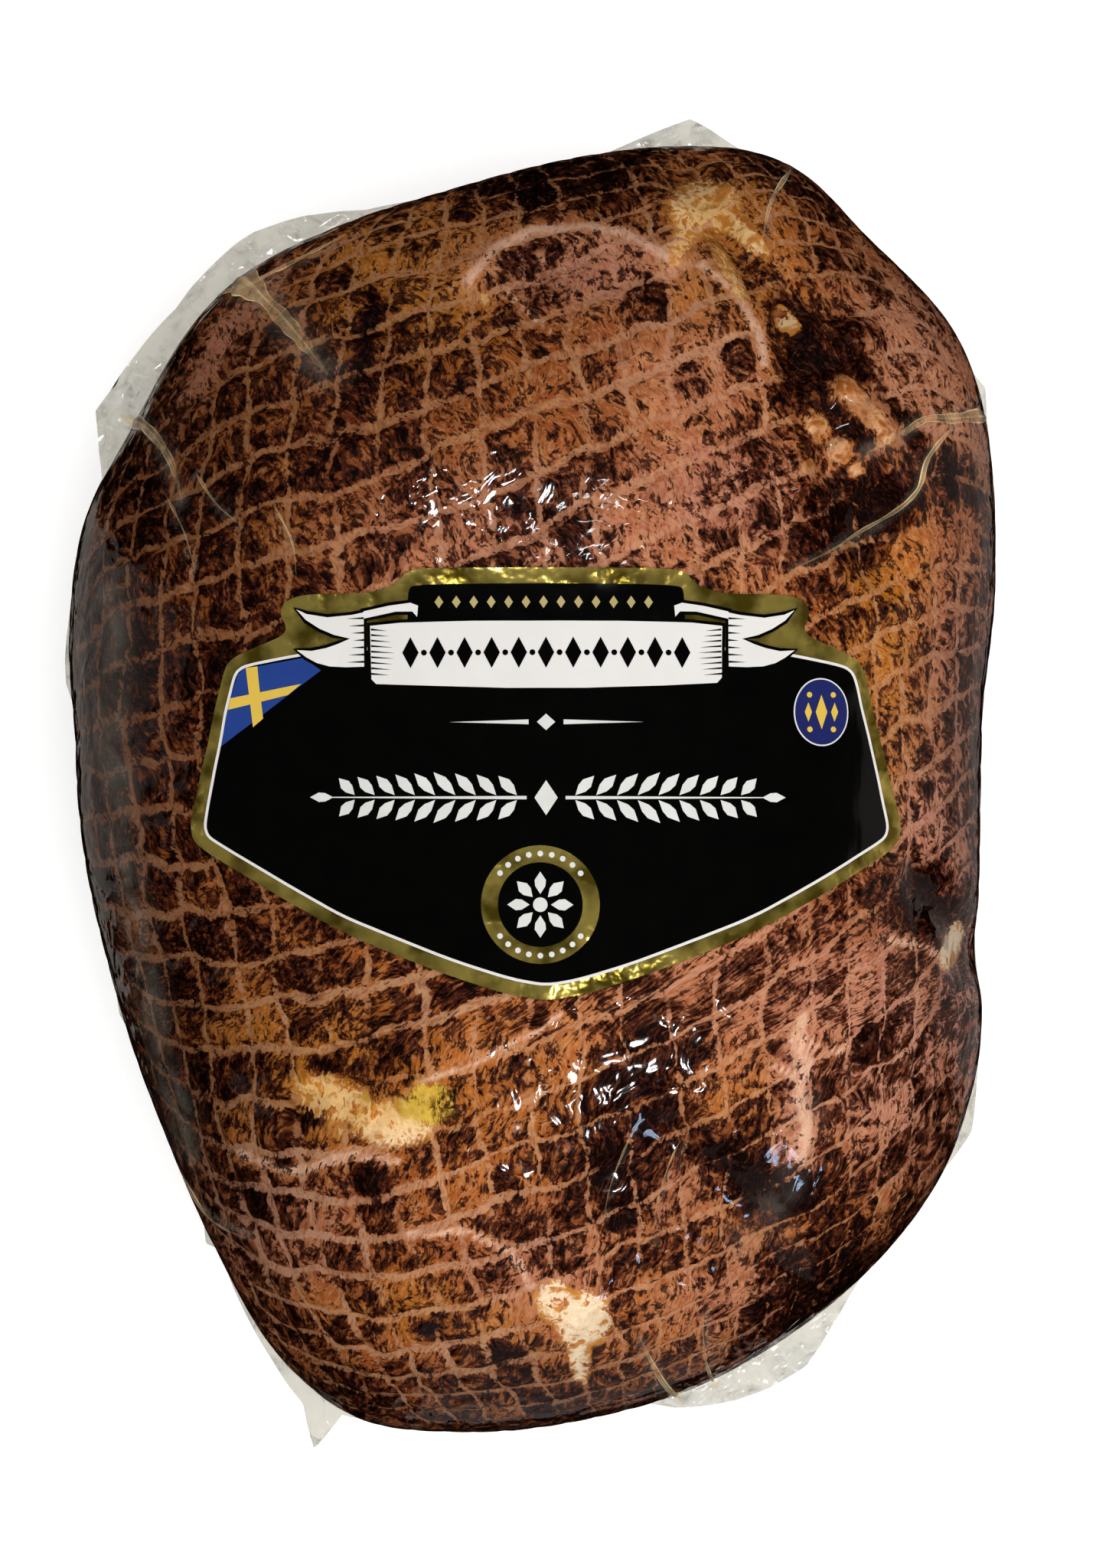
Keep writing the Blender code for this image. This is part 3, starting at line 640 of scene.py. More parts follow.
def meat_fields(meat_up, meat_down, net_up, net_down):
    """The fields that the ham's material reads, for the crown and the belly."""
    fields = {"net_u": (net_up[0], net_down[0]), "net_v": (net_up[1], net_down[1])}
    fields.update({name: [] for name in MEAT_FIELDS})
    for points, net, on in ((meat_up, net_up, 1.0), (meat_down, net_down, 0.0)):
        x, y, z = points[..., 0], points[..., 1], points[..., 2]
        on_crown = on * smooth_step(*COLOURS_FROM, z)
        # Painted shade: low on the ham, and in the regions listed for it
        low = 1 - smooth_step(*UNDERSIDE_SHADE_TO, z)
        patch = np.clip(ripples(points, PAINTED_SHADE_LENGTH, PAINTED_SHADE_DRAW), 0, 1)
        painted_shade = np.maximum(blob_field(x, y, PAINTED_SHADE), low * (LEAST_PAINTED_SHADE + PAINTED_SHADE_PATCH * patch))
        edge = np.zeros(x.shape)
        for line, half in PALE_EDGES:
            edge = np.maximum(edge, near_line(x, y, line, half) * on)
        # The knuckles have no crust, from where they stand out an eighth of a mm
        knob = 8 * np.minimum(1 / 8, knuckle_relief(points)) * on
        char = blob_field(x, y, CHAR) * on_crown * (1 - 0.9 * knob)
        light = np.maximum(blob_field(x, y, LIGHT) * on_crown, 1.2 * knob)
        fields["cover"].append(crust_cover(points, net[0], net[1], char, painted_shade, light, edge))
        fields["painted_shade"].append(painted_shade)
        fields["edge"].append(edge)
        fields["knuckle"].append(knuckles(x, y, False) * on)
        for name, blobs in (
            ("amber", AMBER), ("fat", FAT), ("lemon", LEMON), ("pink_and_sheen", PINK_AND_SHEEN), ("bare", BARE),
            ("pressed", BROAD_NET),
        ):
            fields[name].append(blob_field(x, y, blobs) * on_crown)
    return fields


def film_haze(points):
    """How milky the film is: little over the meat, more towards the ears and folds, and along the
    veils, whose milk is partly painted reflection.
    """
    x, y, z = points[..., 0], points[..., 1], points[..., 2]
    haze_and_sheen = np.zeros(points.shape[:-1])
    for line, half, strength in [(line, half, FOLD_HAZE) for line, _, half in FOLDS] + VEILS_AND_SHEEN:
        haze_and_sheen = np.maximum(haze_and_sheen, strength * near_line(x, y, line, half) * (z > GIRTH_HEIGHT))
    return np.maximum(haze_and_sheen, SEAM_HAZE * np.exp(-(((z - GIRTH_HEIGHT) / SEAM_HALF) ** 2)))


def film_ears():
    """The loose film along the side seam: a crumpled fin with two layers, drawn out in ears."""
    angles = np.linspace(0.0, 360.0, EAR_STEPS, endpoint=False)
    reach = np.interp(angles, *zip(*FILM_REACH))
    droop = FILM_DROOP * reach
    reach = np.maximum(LEAST_EAR, reach - EAR_TRIM)
    turn = np.radians(angles)
    ways = np.stack([np.cos(turn), np.sin(turn)], axis=-1)
    flat = ways * OUTLINE_CURVE.radius(turn)[:, None]
    root = np.column_stack([flat, np.full(len(angles), GIRTH_HEIGHT)])
    root[:, :2] += ways * (muscle_shape(root) - EAR_ROOT)[:, None]
    points, faces, haze_and_sheen = [], [], []
    for layer, side in enumerate((1.0, -1.0)):
        first = layer * EAR_ROWS * EAR_STEPS
        for row in range(EAR_ROWS):
            share = row / (EAR_ROWS - 1)
            out = (reach + EAR_ROOT) * share
            crumple = ripples(
                np.column_stack([angles * 1.8, out * 2.0]), CRUMPLE_LENGTH, CRUMPLE_DRAW + layer
            )
            crumple = crumple * CRUMPLE * out * (1 - 0.3 * share)
            crease_highlight = ripples(
                np.column_stack([angles * 1.6, out * 0.5]), CREASE_HIGHLIGHT_LENGTH, CREASE_HIGHLIGHT_DRAW + layer
            )
            crease_highlight = np.exp(-((crease_highlight / CREASE_HIGHLIGHT_WIDTH) ** 2))
            apart = side * (0.35 + 0.05 * out) * math.sin(math.pi * (0.5 + 0.5 * share))
            lift = -droop * share**1.5 + crumple + apart
            flat = root[:, :2] + ways * out[:, None]
            points.append(np.column_stack([flat, GIRTH_HEIGHT + lift]))
            folded = 0.3 * np.minimum(1.0, np.abs(crumple))
            # The creases add bright milky lines: painted highlights
            haze_and_sheen.append(0.13 + 0.25 * share**3 + folded + 0.50 * crease_highlight)
        for row in range(EAR_ROWS - 1):
            for k in range(EAR_STEPS):
                after = (k + 1) % EAR_STEPS
                a = first + row * EAR_STEPS + k
                b = first + row * EAR_STEPS + after
                c = first + (row + 1) * EAR_STEPS + after
                d = first + (row + 1) * EAR_STEPS + k
                faces.append((a, b, c, d) if side < 0 else (a, d, c, b))
    return new_piece("film_ears", np.vstack(points), faces, {"haze_and_sheen": np.concatenate(haze_and_sheen)})


def smooth_line(points, step):
    """Points along a smooth curve through a few points, about a step apart."""
    points = np.array(points, float)
    padded = np.vstack([2 * points[0] - points[1], points, 2 * points[-1] - points[-2]])
    out = []
    for k in range(1, len(padded) - 2):
        p0, p1, p2, p3 = padded[k - 1:k + 3]
        count = max(2, int(np.linalg.norm(p2 - p1) / step))
        for t in np.arange(count) / count:
            out.append(0.5 * (
                2 * p1 + (p2 - p0) * t + (2 * p0 - 5 * p1 + 4 * p2 - p3) * t * t
                + (3 * p1 - p0 - 3 * p2 + p3) * t**3
            ))
    out.append(points[-1])
    return np.array(out)


def over_film(flat, lift):
    """Points a given way above the crown's film, from points on the plan."""
    flat = np.asarray(flat, float)
    base = np.column_stack([flat, crown_height(flat[:, 0], flat[:, 1])])
    way = outward(base, True)
    return base + way * (muscle_shape(base) + lift)[:, None]


FOLD_STEP = 0.6
FOLD_WOBBLE = 0.25
WOBBLE_LENGTH = 6.0
WOBBLE_DRAW = 51
# The bead along each edge of a fold, a milky line that is partly painted highlight: its width in
# mm, and its most as a share of half the fold
BEAD = 0.35
WIDEST_BEAD = 0.45


def film_folds():
    """Folds of slack film pressed over the crown: low tents that taper to nothing."""
    points, faces, haze_and_sheen = [], [], []
    for number, (line, height, half) in enumerate(FOLDS):
        path = smooth_line(line, FOLD_STEP)
        way = np.gradient(path, axis=0)
        way = way / np.linalg.norm(way, axis=1, keepdims=True)
        across = np.column_stack([-way[:, 1], way[:, 0]])
        count = len(path)
        share = np.linspace(0, 1, count)
        taper = np.minimum(1.0, 6.0 * share) * (1 - share) ** 0.9
        wobble = 1 + FOLD_WOBBLE * ripples(path, WOBBLE_LENGTH, WOBBLE_DRAW + number)
        first = len(points)
        bead = min(WIDEST_BEAD, BEAD / half)
        # Across the fold: place from edge to edge, share of its height, and how milky it is, which
        # along the beads is partly painted highlight
        profile = (
            (-1.0, 0.0, 0.1), (-1 + 0.5 * bead, 0.15, 1.0), (-1 + bead, 0.25, 0.30),
            (-0.2 * (1 - bead), 0.7, 0.22), (0.15, 1.0, 0.45), (0.30, 0.8, 0.16),
            (1 - bead, 0.2, 0.20), (1 - 0.5 * bead, 0.1, 0.8), (1.0, 0.0, 0.1),
        )
        for place, up, milk_and_highlight in profile:
            flat = path + across * (place * half * (0.06 + taper * wobble))[:, None]
            rows = over_film(flat, FILM_GAP - 0.1 + height * up * taper * wobble)
            points.extend(rows.tolist())
            haze_and_sheen.extend((milk_and_highlight * (0.45 + 0.55 * taper)).tolist())
        for strip in range(len(profile) - 1):
            for k in range(count - 1):
                a = first + strip * count + k
                faces.append((a, a + 1, a + count + 1, a + count))
    return new_piece("film_folds", points, faces, {"haze_and_sheen": haze_and_sheen})


# The label


def oval(x, y, radius_x, radius_y, count=48):
    """Points of an oval round a middle."""
    turns = [math.tau * k / count for k in range(count)]
    return [(x + radius_x * math.cos(t), y + radius_y * math.sin(t)) for t in turns]


def eased(outline):
    """An outline with its corners rounded by cutting them twice."""
    for _ in range(2):
        cut = []
        for (ax, ay), (bx, by) in zip(outline, outline[1:] + outline[:1]):
            cut.append((0.8 * ax + 0.2 * bx, 0.8 * ay + 0.2 * by))
            cut.append((0.2 * ax + 0.8 * bx, 0.2 * ay + 0.8 * by))
        outline = cut
    return outline


def inset(outline, gap):
    """An outline moved inwards by a gap, for an outline given anticlockwise."""
    points = np.array(outline, float)
    before = points - np.roll(points, 1, axis=0)
    after = np.roll(points, -1, axis=0) - points
    before = before / np.linalg.norm(before, axis=1, keepdims=True)
    after = after / np.linalg.norm(after, axis=1, keepdims=True)
    normals = np.column_stack([-(before + after)[:, 1], (before + after)[:, 0]])
    lengths = np.linalg.norm(normals, axis=1, keepdims=True)
    normals = normals / lengths
    spread = np.clip(2 / lengths, 1.0, 1.35)
    return [tuple(p) for p in points + normals * gap * spread]


def print_sheet(outlines):
    """Flat shapes cut into small faces: points on the plan, faces, and edges of the rim."""
    shape = bmesh.new()
    for outline in outlines:
        corners = [shape.verts.new((x, y, 0.0)) for x, y in outline]
        shape.faces.new(corners)
    xs = [v.co.x for v in shape.verts]
    ys = [v.co.y for v in shape.verts]
    for axis, values in ((0, xs), (1, ys)):
        low = math.floor(min(values) / LABEL_CELL) * LABEL_CELL
        for place in np.arange(low + LABEL_CELL, max(values), LABEL_CELL):
            everything = shape.verts[:] + shape.edges[:] + shape.faces[:]
            point = (place, 0, 0) if axis == 0 else (0, place, 0)
            normal = (1, 0, 0) if axis == 0 else (0, 1, 0)
            bmesh.ops.bisect_plane(shape, geom=everything, plane_co=point, plane_no=normal)
    bmesh.ops.triangulate(shape, faces=shape.faces[:])
    shape.normal_update()
    down = [face for face in shape.faces if face.normal.z < 0]
    bmesh.ops.reverse_faces(shape, faces=down)
    shape.verts.index_update()
    flat = np.array([tuple(v.co)[:2] for v in shape.verts])
    faces = [tuple(v.index for v in face.verts) for face in shape.faces]
    rim = []
    for edge in shape.edges:
        if edge.is_boundary:
            loop = edge.link_loops[0]
            rim.append((loop.vert.index, loop.link_loop_next.vert.index))
    shape.free()
    return flat, faces, rim


def over_label(flat, height):
    """Points of the plan laid over the film at a height, with the label's faint waves."""
    waves = sum(rise * ripples(flat, length, draw) for rise, length, draw in LABEL_RIPPLES)
    return over_film(flat, height + waves)


def layer_object(name, outlines, level, surface):
    """One colour of the label's print, as a thin sheet a little above the one under it."""
    flat, faces, _ = print_sheet(outlines)
    made = new_piece(name, over_label(flat, LABEL_TOP + level * LAYER), faces)
    made.data.materials.append(surface)
    dress(made, "label")


def dress(piece, node):
    """What each piece belongs to."""
    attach(piece, "root")
    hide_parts(node)


def label_stock(surface):
    """The label's own card with its foil face, as a thin closed plate."""
    flat, faces, rim = print_sheet([eased(label_outline())])
    count = len(flat)
    faces = (
        faces
        + [tuple(count + k for k in reversed(face)) for face in faces]
        + [(b, a, count + a, count + b) for a, b in rim]
    )
    points = np.vstack([over_label(flat, LABEL_TOP), over_label(flat, LABEL_UNDER)])
    made = new_piece("label_stock", points, faces)
    made.data.materials.append(surface)
    made.data.set_sharp_from_angle(angle=math.radians(50))
    dress(made, "label")


# Materials


def add(tree, kind, inputs=None, take=0, **settings):
    """Adds a node with its settings, sets or links its inputs, and gives the output to take."""
    node = tree.nodes.new("ShaderNode" + kind)
    for name, value in settings.items():
        setattr(node, name, value)
    for name, value in (inputs or {}).items():
        if isinstance(value, bpy.types.NodeSocket):
            tree.links.new(value, node.inputs[name])
        else:
            node.inputs[name].default_value = value
    return node.outputs[take] if node.outputs else None


def blank(name):
    """A new material and its empty node tree."""
    made = bpy.data.materials.new(name)
    made.use_nodes = True
    made.node_tree.nodes.clear()
    return made, made.node_tree


def browned_ham():
    """Cured pork roasted in a net: orange-brown meat, crisp dark crust in each square, and paler
    marks where the cords kept the heat off. Painted shade darkens it low down and along the left.
    Juice under the film takes away its own gloss."""
    made, tree = blank("browned_ham_meat")
    place = add(tree, "TexCoord", take="Object")
    field = {
        name: add(tree, "Attribute", take="Fac", attribute_name=name)
        for name in ("net_u", "net_v") + MEAT_FIELDS
    }

    # Fibres lean one way above and the other way low down, so the grain has two stretched copies
    drift = add(tree, "TexNoise", {"Vector": place, "Scale": METRE / 11, "Detail": 2.0}, "Color")
    drift = add(tree, "VectorMath", {0: drift, 1: (0.5, 0.5, 0.5)}, operation="SUBTRACT")
    bent = add(tree, "VectorMath", {
        0: drift, 1: (8 * MM,) * 3, 2: place,
    }, operation="MULTIPLY_ADD")
    upper_grain, lower_grain = (
        add(tree, "Mapping", {
            "Vector": bent, "Rotation": (0, 0, math.radians(lean)), "Scale": stretch,
        }, vector_type="TEXTURE")
        for lean, stretch in ((31, (1.0, 2.3, 1.6)), (-16, (0.9, 3.2, 1.6)))
    )
    along_ham = add(tree, "SeparateXYZ", {0: place}, "Y")
    lower = add(tree, "MapRange", {
        "Value": along_ham, "From Min": -20 * MM, "From Max": -50 * MM,
    })
    grain = add(tree, "Mix", {0: lower, 4: upper_grain, 5: lower_grain}, 1, data_type="VECTOR")

    # Grainy fields: what they follow, the size of their grains in mm, detail and roughness
    streak, hair, specks, clots, fray, broad, shown = (
        add(tree, "TexNoise", {
            "Vector": vector, "Scale": METRE / size, "Detail": detail, "Roughness": roughness,
        }, "Fac")
        for vector, size, detail, roughness in (
            (grain, 1.15, 3.0, 0.68), (grain, 0.7, 2.0, 0.6), (bent, 0.8, 2.0, 0.6),
            (bent, 3.6, 3.0, 0.6), (bent, 2.1, 3.0, 0.65), (place, 38, 2.0, 0.5),
            (place, 19, 2.0, 0.5),
        )
    )

    # The net's marks, about 1.6 mm wide in squares of about 10 mm, frayed by the crust beside
    # them, wider where the net pressed deepest and thinner low on the ham
    sway = add(tree, "TexNoise", {"Vector": place, "Scale": METRE / 7, "Detail": 1.0}, "Color")
    marks = []
    for name, axis, pressing, thinning, outer, inner in (
        ("net_u", 0, -0.050, 0.022, 0.220, 0.172), ("net_v", 1, -0.065, 0.026, 0.236, 0.188),
    ):
        nearest = add(tree, "Math", {0: field[name]}, operation="ROUND")
        off = add(tree, "Math", {0: field[name], 1: nearest}, operation="SUBTRACT")
        aside = add(tree, "SeparateXYZ", {0: sway}, axis)
        off = add(tree, "Math", {0: aside, 1: 0.16, 2: off}, operation="MULTIPLY_ADD")
        off = add(tree, "Math", {0: off, 1: 0.08}, operation="SUBTRACT")
        off = add(tree, "Math", {0: off}, operation="ABSOLUTE")
        for part, share in ((fray, 0.28), (field["pressed"], pressing), (lower, thinning)):
            off = add(tree, "Math", {0: part, 1: share, 2: off}, operation="MULTIPLY_ADD")
        marks.append(add(tree, "MapRange", {
            "Value": off, "From Min": outer, "From Max": inner,
        }, interpolation_type="SMOOTHSTEP"))
    shown = add(tree, "Math", {0: field["painted_shade"], 1: 0.3, 2: shown}, operation="MULTIPLY_ADD")
    held = add(tree, "Math", {
        0: field["bare"], 1: -1.0, 2: 1.0,
    }, operation="MULTIPLY_ADD", use_clamp=True)
    # Cords fade in patches, rings less so, and no mark shows on torn rind
    for side, value, low, high, least in (
        (0, shown, 0.40, 0.56, 0.15), (1, broad, 0.36, 0.56, 0.75),
    ):
        faint = add(tree, "MapRange", {
            "Value": value, "From Min": low, "From Max": high, "To Min": least,
        })
        marks[side] = add(tree, "Math", {0: marks[side], 1: faint}, operation="MULTIPLY")
        marks[side] = add(tree, "Math", {0: marks[side], 1: held}, operation="MULTIPLY")
    net = add(tree, "Math", {0: marks[1], 1: marks[0]}, operation="MAXIMUM")

    # Crust: soft brown clouds under fine dark flecks; the cover says how much of a place they take
    cloud = add(tree, "Math", {0: clots, 1: 1.7, 2: field["cover"]}, operation="MULTIPLY_ADD")
    crust = 0.0
    for part, share in ((specks, 0.48), (streak, 1.22), (cloud, 0.38), (net, -0.27)):
        crust = add(tree, "Math", {0: part, 1: share, 2: crust}, operation="MULTIPLY_ADD")

    # Fat and tendon: ragged fibrous patches, from amber to nearly white
    torn = add(tree, "Math", {0: clots, 1: 0.9, 2: streak}, operation="MULTIPLY_ADD")
    torn = add(tree, "Math", {0: torn, 1: -0.95}, operation="ADD")
    ragged = add(tree, "Math", {0: torn, 1: 3.0, 2: 1.0}, operation="MULTIPLY_ADD")
    fat = add(tree, "Math", {0: ragged, 1: field["fat"]}, operation="MULTIPLY")
    lemon = add(tree, "Math", {0: torn, 1: 1.2, 2: field["lemon"]}, operation="MULTIPLY_ADD")
    vein = add(tree, "Math", {0: clots, 1: 0.5}, operation="SUBTRACT")
    vein = add(tree, "Math", {0: vein}, operation="ABSOLUTE")
    for part, share in ((hair, 0.03), (field["fat"], -0.15)):
        vein = add(tree, "Math", {0: part, 1: share, 2: vein}, operation="MULTIPLY_ADD")

    # Where each field stops and starts to show
    soft, brown, black, knuckle, fat, vein, lemon = (
        add(tree, "MapRange", {
            "Value": value, "From Min": low, "From Max": high, "To Max": most,
        }, interpolation_type="SMOOTHSTEP")
        for value, low, high, most in (
            (cloud, 1.14, 1.60, 0.85), (crust, 1.300, 1.37, 1.0), (crust, 1.42, 1.53, 1.0),
            (field["knuckle"], 0.38, 0.6, 0.95), (fat, 0.40, 0.68, 1.0), (vein, 0.03, -0.10, 1.0),
            (lemon, 0.42, 0.70, 0.85),
        )
    )
    rim = add(tree, "Math", {0: field["edge"], 1: streak}, operation="MULTIPLY")
    tone, pale, fibre, thread, rim, gristle, singed = (
        add(tree, "MapRange", {"Value": value, "From Min": low, "From Max": high, "To Max": most})
        for value, low, high, most in (
            (broad, 0.38, 0.62, 1.0), (clots, 0.48, 0.60, 0.8), (hair, 0.52, 0.62, 0.40),
            (hair, 0.47, 0.39, 0.55), (rim, 0.22, 0.44, 0.85), (clots, 0.40, 0.62, 1.0),
            (hair, 0.50, 0.68, 1.0),
        )
    )
    soft = add(tree, "Math", {0: net, 1: -0.6, 2: soft}, operation="MULTIPLY_ADD", use_clamp=True)
    stain = add(tree, "Math", {0: fat, 1: -0.8, 2: 1.0}, operation="MULTIPLY_ADD")
    soft = add(tree, "Math", {0: soft, 1: stain}, operation="MULTIPLY")
    crisp = add(tree, "Math", {0: fat, 1: knuckle}, operation="MAXIMUM")
    crisp = add(tree, "Math", {0: crisp, 1: -0.92, 2: 1.0}, operation="MULTIPLY_ADD")
    brown = add(tree, "Math", {0: brown, 1: crisp}, operation="MULTIPLY")
    black = add(tree, "Math", {0: black, 1: crisp}, operation="MULTIPLY")

    # Layers of colour, from the meat up to the black crust: where, how strongly, and what from and
    # to. A layer with one colour lies over those before it.
    golden = add(tree, "Math", {0: field["amber"], 1: 0.85}, operation="MULTIPLY", use_clamp=True)
    cord_mark, tendon, cream, char_tone = (
        add(tree, "Mix", {0: share, 6: linear(code), 7: linear(other)}, 2, data_type="RGBA")
        for share, code, other in (
            (field["pressed"], "#BA875C", "#C39C7C"), (gristle, "#97561F", "#E6B586"),
            (golden, "#F2DFC0", "#ECC27A"), (singed, "#080100", "#35130A"),
        )
    )
    fat_tone = add(tree, "Mix", {0: vein, 6: linear("#CC8A38"), 7: cream}, 2, data_type="RGBA")
    colour = linear("#944C1E")
    for where, strength, over in (
        (tone, 1.0, linear("#B4692B")), (pale, 1.0, linear("#C68248")),
        (golden, 1.0, linear("#B97620")), (net, 0.78, cord_mark),
        # The pinkish tone is partly painted reflection over the lower right
        (field["pink_and_sheen"], 0.70, linear("#C69284")), (fibre, 1.0, linear("#CC9A74")),
        # The dark brown laid over the shaded regions and the underside is painted shade
        (thread, 1.0, linear("#8C4522")), (field["painted_shade"], 0.74, linear("#5E3519")),
        (rim, 1.0, linear("#E2B89C")), (knuckle, 1.0, tendon), (fat, 1.0, fat_tone),
        (lemon, 1.0, linear("#DABA46")), (soft, 1.0, linear("#703514")),
        (brown, 0.88, linear("#3C160A")), (black, 0.95, char_tone),
    ):
        if strength < 1:
            where = add(tree, "Math", {
                0: where, 1: strength,
            }, operation="MULTIPLY", use_clamp=True)
        colour = add(tree, "Mix", {0: where, 6: colour, 7: over}, 2, data_type="RGBA")

    height = add(tree, "Math", {0: streak, 1: 0.6, 2: specks}, operation="MULTIPLY_ADD")
    height = add(tree, "Math", {0: brown, 1: -0.2, 2: height}, operation="MULTIPLY_ADD")
    bump = add(tree, "Bump", {"Strength": 0.7, "Distance": 0.5 * MM, "Height": height})
    rough = add(tree, "MapRange", {"Value": specks, "To Min": 0.34, "To Max": 0.58})
    shader = add(tree, "BsdfPrincipled", {
        "Base Color": colour, "Roughness": rough, "Normal": bump, "IOR": 1.42, "Metallic": 0.0,
        "Specular IOR Level": 0.08,
    })
    add(tree, "OutputMaterial", {"Surface": shader})
    return made


def shrink_film(name, milk, pale, tint, roughness, index):
    """Clear polyolefin shrink film: mirror glints on fine pulled wrinkles, milky where it doubles
    up; its milky lines along creases, fold edges and veils are partly painted highlight and painted
    reflection. milk is how much it hides at its thinnest and thickest, pale their colour, and tint
    what a clear layer takes from the light."""
    made, tree = blank(name)
    place = add(tree, "TexCoord", take="Object")
    wide = add(tree, "TexNoise", {"Vector": place, "Scale": METRE / 16, "Detail": 2.0}, "Color")
    bent = add(tree, "VectorMath", {
        0: wide, 1: (20 * MM,) * 3, 2: place,
    }, operation="MULTIPLY_ADD")
    pulled = add(tree, "Mapping", {
        "Vector": bent, "Rotation": (0, 0, math.radians(-20)), "Scale": (1.0, 4.2, 1.8),
    }, vector_type="TEXTURE")
    wrinkle = add(tree, "TexNoise", {
        "Vector": pulled, "Scale": METRE / 3.2, "Detail": 1.5, "Roughness": 0.4,
    }, "Fac")
    dimple = add(tree, "TexNoise", {
        "Vector": bent, "Scale": METRE / 7.0, "Detail": 1.0, "Roughness": 0.4,
    }, "Fac")
    height = add(tree, "Math", {0: wrinkle, 1: 0.55, 2: dimple}, operation="MULTIPLY_ADD")
    bump = add(tree, "Bump", {"Strength": 0.45, "Distance": 1.2 * MM, "Height": height})
    # The film's milkiness field, which also carries its painted highlights and painted reflection
    haze_and_sheen = add(tree, "Attribute", take="Fac", attribute_name="haze_and_sheen")
    cloud = add(tree, "MapRange", {
        "Value": dimple, "From Min": 0.38, "From Max": 0.62, "To Min": milk[0], "To Max": milk[1],
    })
    haze_and_sheen = add(tree, "Math", {0: haze_and_sheen, 1: cloud}, operation="MULTIPLY", use_clamp=True)
    clear = add(tree, "BsdfTransparent", {"Color": linear(tint)})
    white = add(tree, "BsdfDiffuse", {"Color": linear(pale)})
    glint = add(tree, "BsdfGlossy", {"Color": WHITE, "Roughness": roughness, "Normal": bump})
    fresnel = add(tree, "Fresnel", {"IOR": index, "Normal": bump})
    body = add(tree, "MixShader", {0: haze_and_sheen, 1: clear, 2: white})
    shell = add(tree, "MixShader", {0: fresnel, 1: body, 2: glint})
    add(tree, "OutputMaterial", {"Surface": shell})
    return made


def coated_print(name, code, second, roughness):
    """Litho ink under gloss varnish on label stock: a flat colour with the faintest mottle and the
    stretch marks of the film under it."""
    made, tree = blank(name)
    place = add(tree, "TexCoord", take="Object")
    mottle = add(tree, "TexNoise", {"Vector": place, "Scale": METRE / 6, "Detail": 4.0}, "Fac")
    colour = add(tree, "Mix", {
        0: mottle, 6: linear(code), 7: linear(second),
    }, 2, data_type="RGBA")
    pulled = add(tree, "Mapping", {
        "Vector": place, "Rotation": (0, 0, math.radians(-35)), "Scale": (1.0, 0.18, 1.0),
    })
    crease = add(tree, "TexNoise", {"Vector": pulled, "Scale": METRE / 5, "Detail": 2.0}, "Fac")
    bump = add(tree, "Bump", {"Strength": 0.3, "Distance": 0.4 * MM, "Height": crease})
    shader = add(tree, "BsdfPrincipled", {
        "Base Color": colour, "Roughness": roughness, "IOR": 1.5, "Metallic": 0.0, "Normal": bump,
    })
    add(tree, "OutputMaterial", {"Surface": shader})
    return made


def gold_foil():
    """Hot-stamped gold foil on card: a rippled yellow mirror whose colour is painted from dark
    olive to bright in patches, a painted reflection.
    """
    made, tree = blank("gold_foil")
    place = add(tree, "TexCoord", take="Object")
    wave = add(tree, "TexNoise", {"Vector": place, "Scale": METRE / 7, "Detail": 2.5}, "Fac")
    # Painted reflection: the foil's colour runs from dark olive to bright in patches
    glow = add(tree, "MapRange", {"Value": wave, "From Min": 0.36, "From Max": 0.60})
    colour = add(tree, "Mix", {
        0: glow, 6: linear("#7C6A20"), 7: linear("#EAD06A"),
    }, 2, data_type="RGBA")
    bump = add(tree, "Bump", {"Strength": 0.9, "Distance": 1.4 * MM, "Height": wave})
    shader = add(tree, "BsdfPrincipled", {
        "Base Color": colour, "Metallic": 0.85, "Roughness": 0.20, "Normal": bump,
    })
    add(tree, "OutputMaterial", {"Surface": shader})
    return made


def table_top():
    """A white light table: its faint glow keeps the soft shadow pale."""
    made, tree = blank("pale_table")
    place = add(tree, "TexCoord", take="Object")
    grain = add(tree, "TexNoise", {"Vector": place, "Scale": METRE / 250, "Detail": 3.0}, "Fac")
    colour = add(tree, "Mix", {
        0: grain, 6: linear("#F2F2F0"), 7: linear("#F8F8F7"),
    }, 2, data_type="RGBA")
    shader = add(tree, "BsdfPrincipled", {
        "Base Color": colour, "Roughness": 0.7, "Emission Color": WHITE,
        "Emission Strength": 0.28,
    })
    add(tree, "OutputMaterial", {"Surface": shader})
    return made


# Making the pieces


def make_ham_and_film():
    meat_up, film_up, u_up, v_up = side_points(True)
    meat_down, film_down, u_down, v_down = side_points(False)
    fields = meat_fields(meat_up, meat_down, (u_up, v_up), (u_down, v_down))
    ham = closed_skin("browned_ham", meat_up, meat_down, fields)
    ham.data.materials.append(browned_ham())
    dress(ham, "sealed_ham")
    haze_and_sheen = {"haze_and_sheen": (film_haze(film_up), film_haze(film_down) * BELOW_HAZE)}
    film = closed_skin("shrink_film", film_up, film_down, haze_and_sheen)
    for piece, kind, milk, pale, tint, roughness, index in (
        (film, "clear", (0.35, 1.3), "#C9BEAC", "#FFFFFF", 0.06, 1.36),
        (film_ears(), "slack", (0.15, 1.2), "#CAC8C0", "#E6E4DE", 0.12, 1.36),
        (film_folds(), "folded", (0.55, 1.0), "#F2D09A", "#F6F0E2", 0.30, 1.2),
    ):
        surface = shrink_film(kind + "_shrink_film", milk, pale, tint, roughness, index)
        piece.data.materials.append(surface)
        dress(piece, "sealed_ham")


def shifted(points):
    """Print positions, given from the label's middle, moved to its place on the ham."""
    return [(x + LABEL_MIDDLE[0], y + LABEL_MIDDLE[1]) for x, y in points]


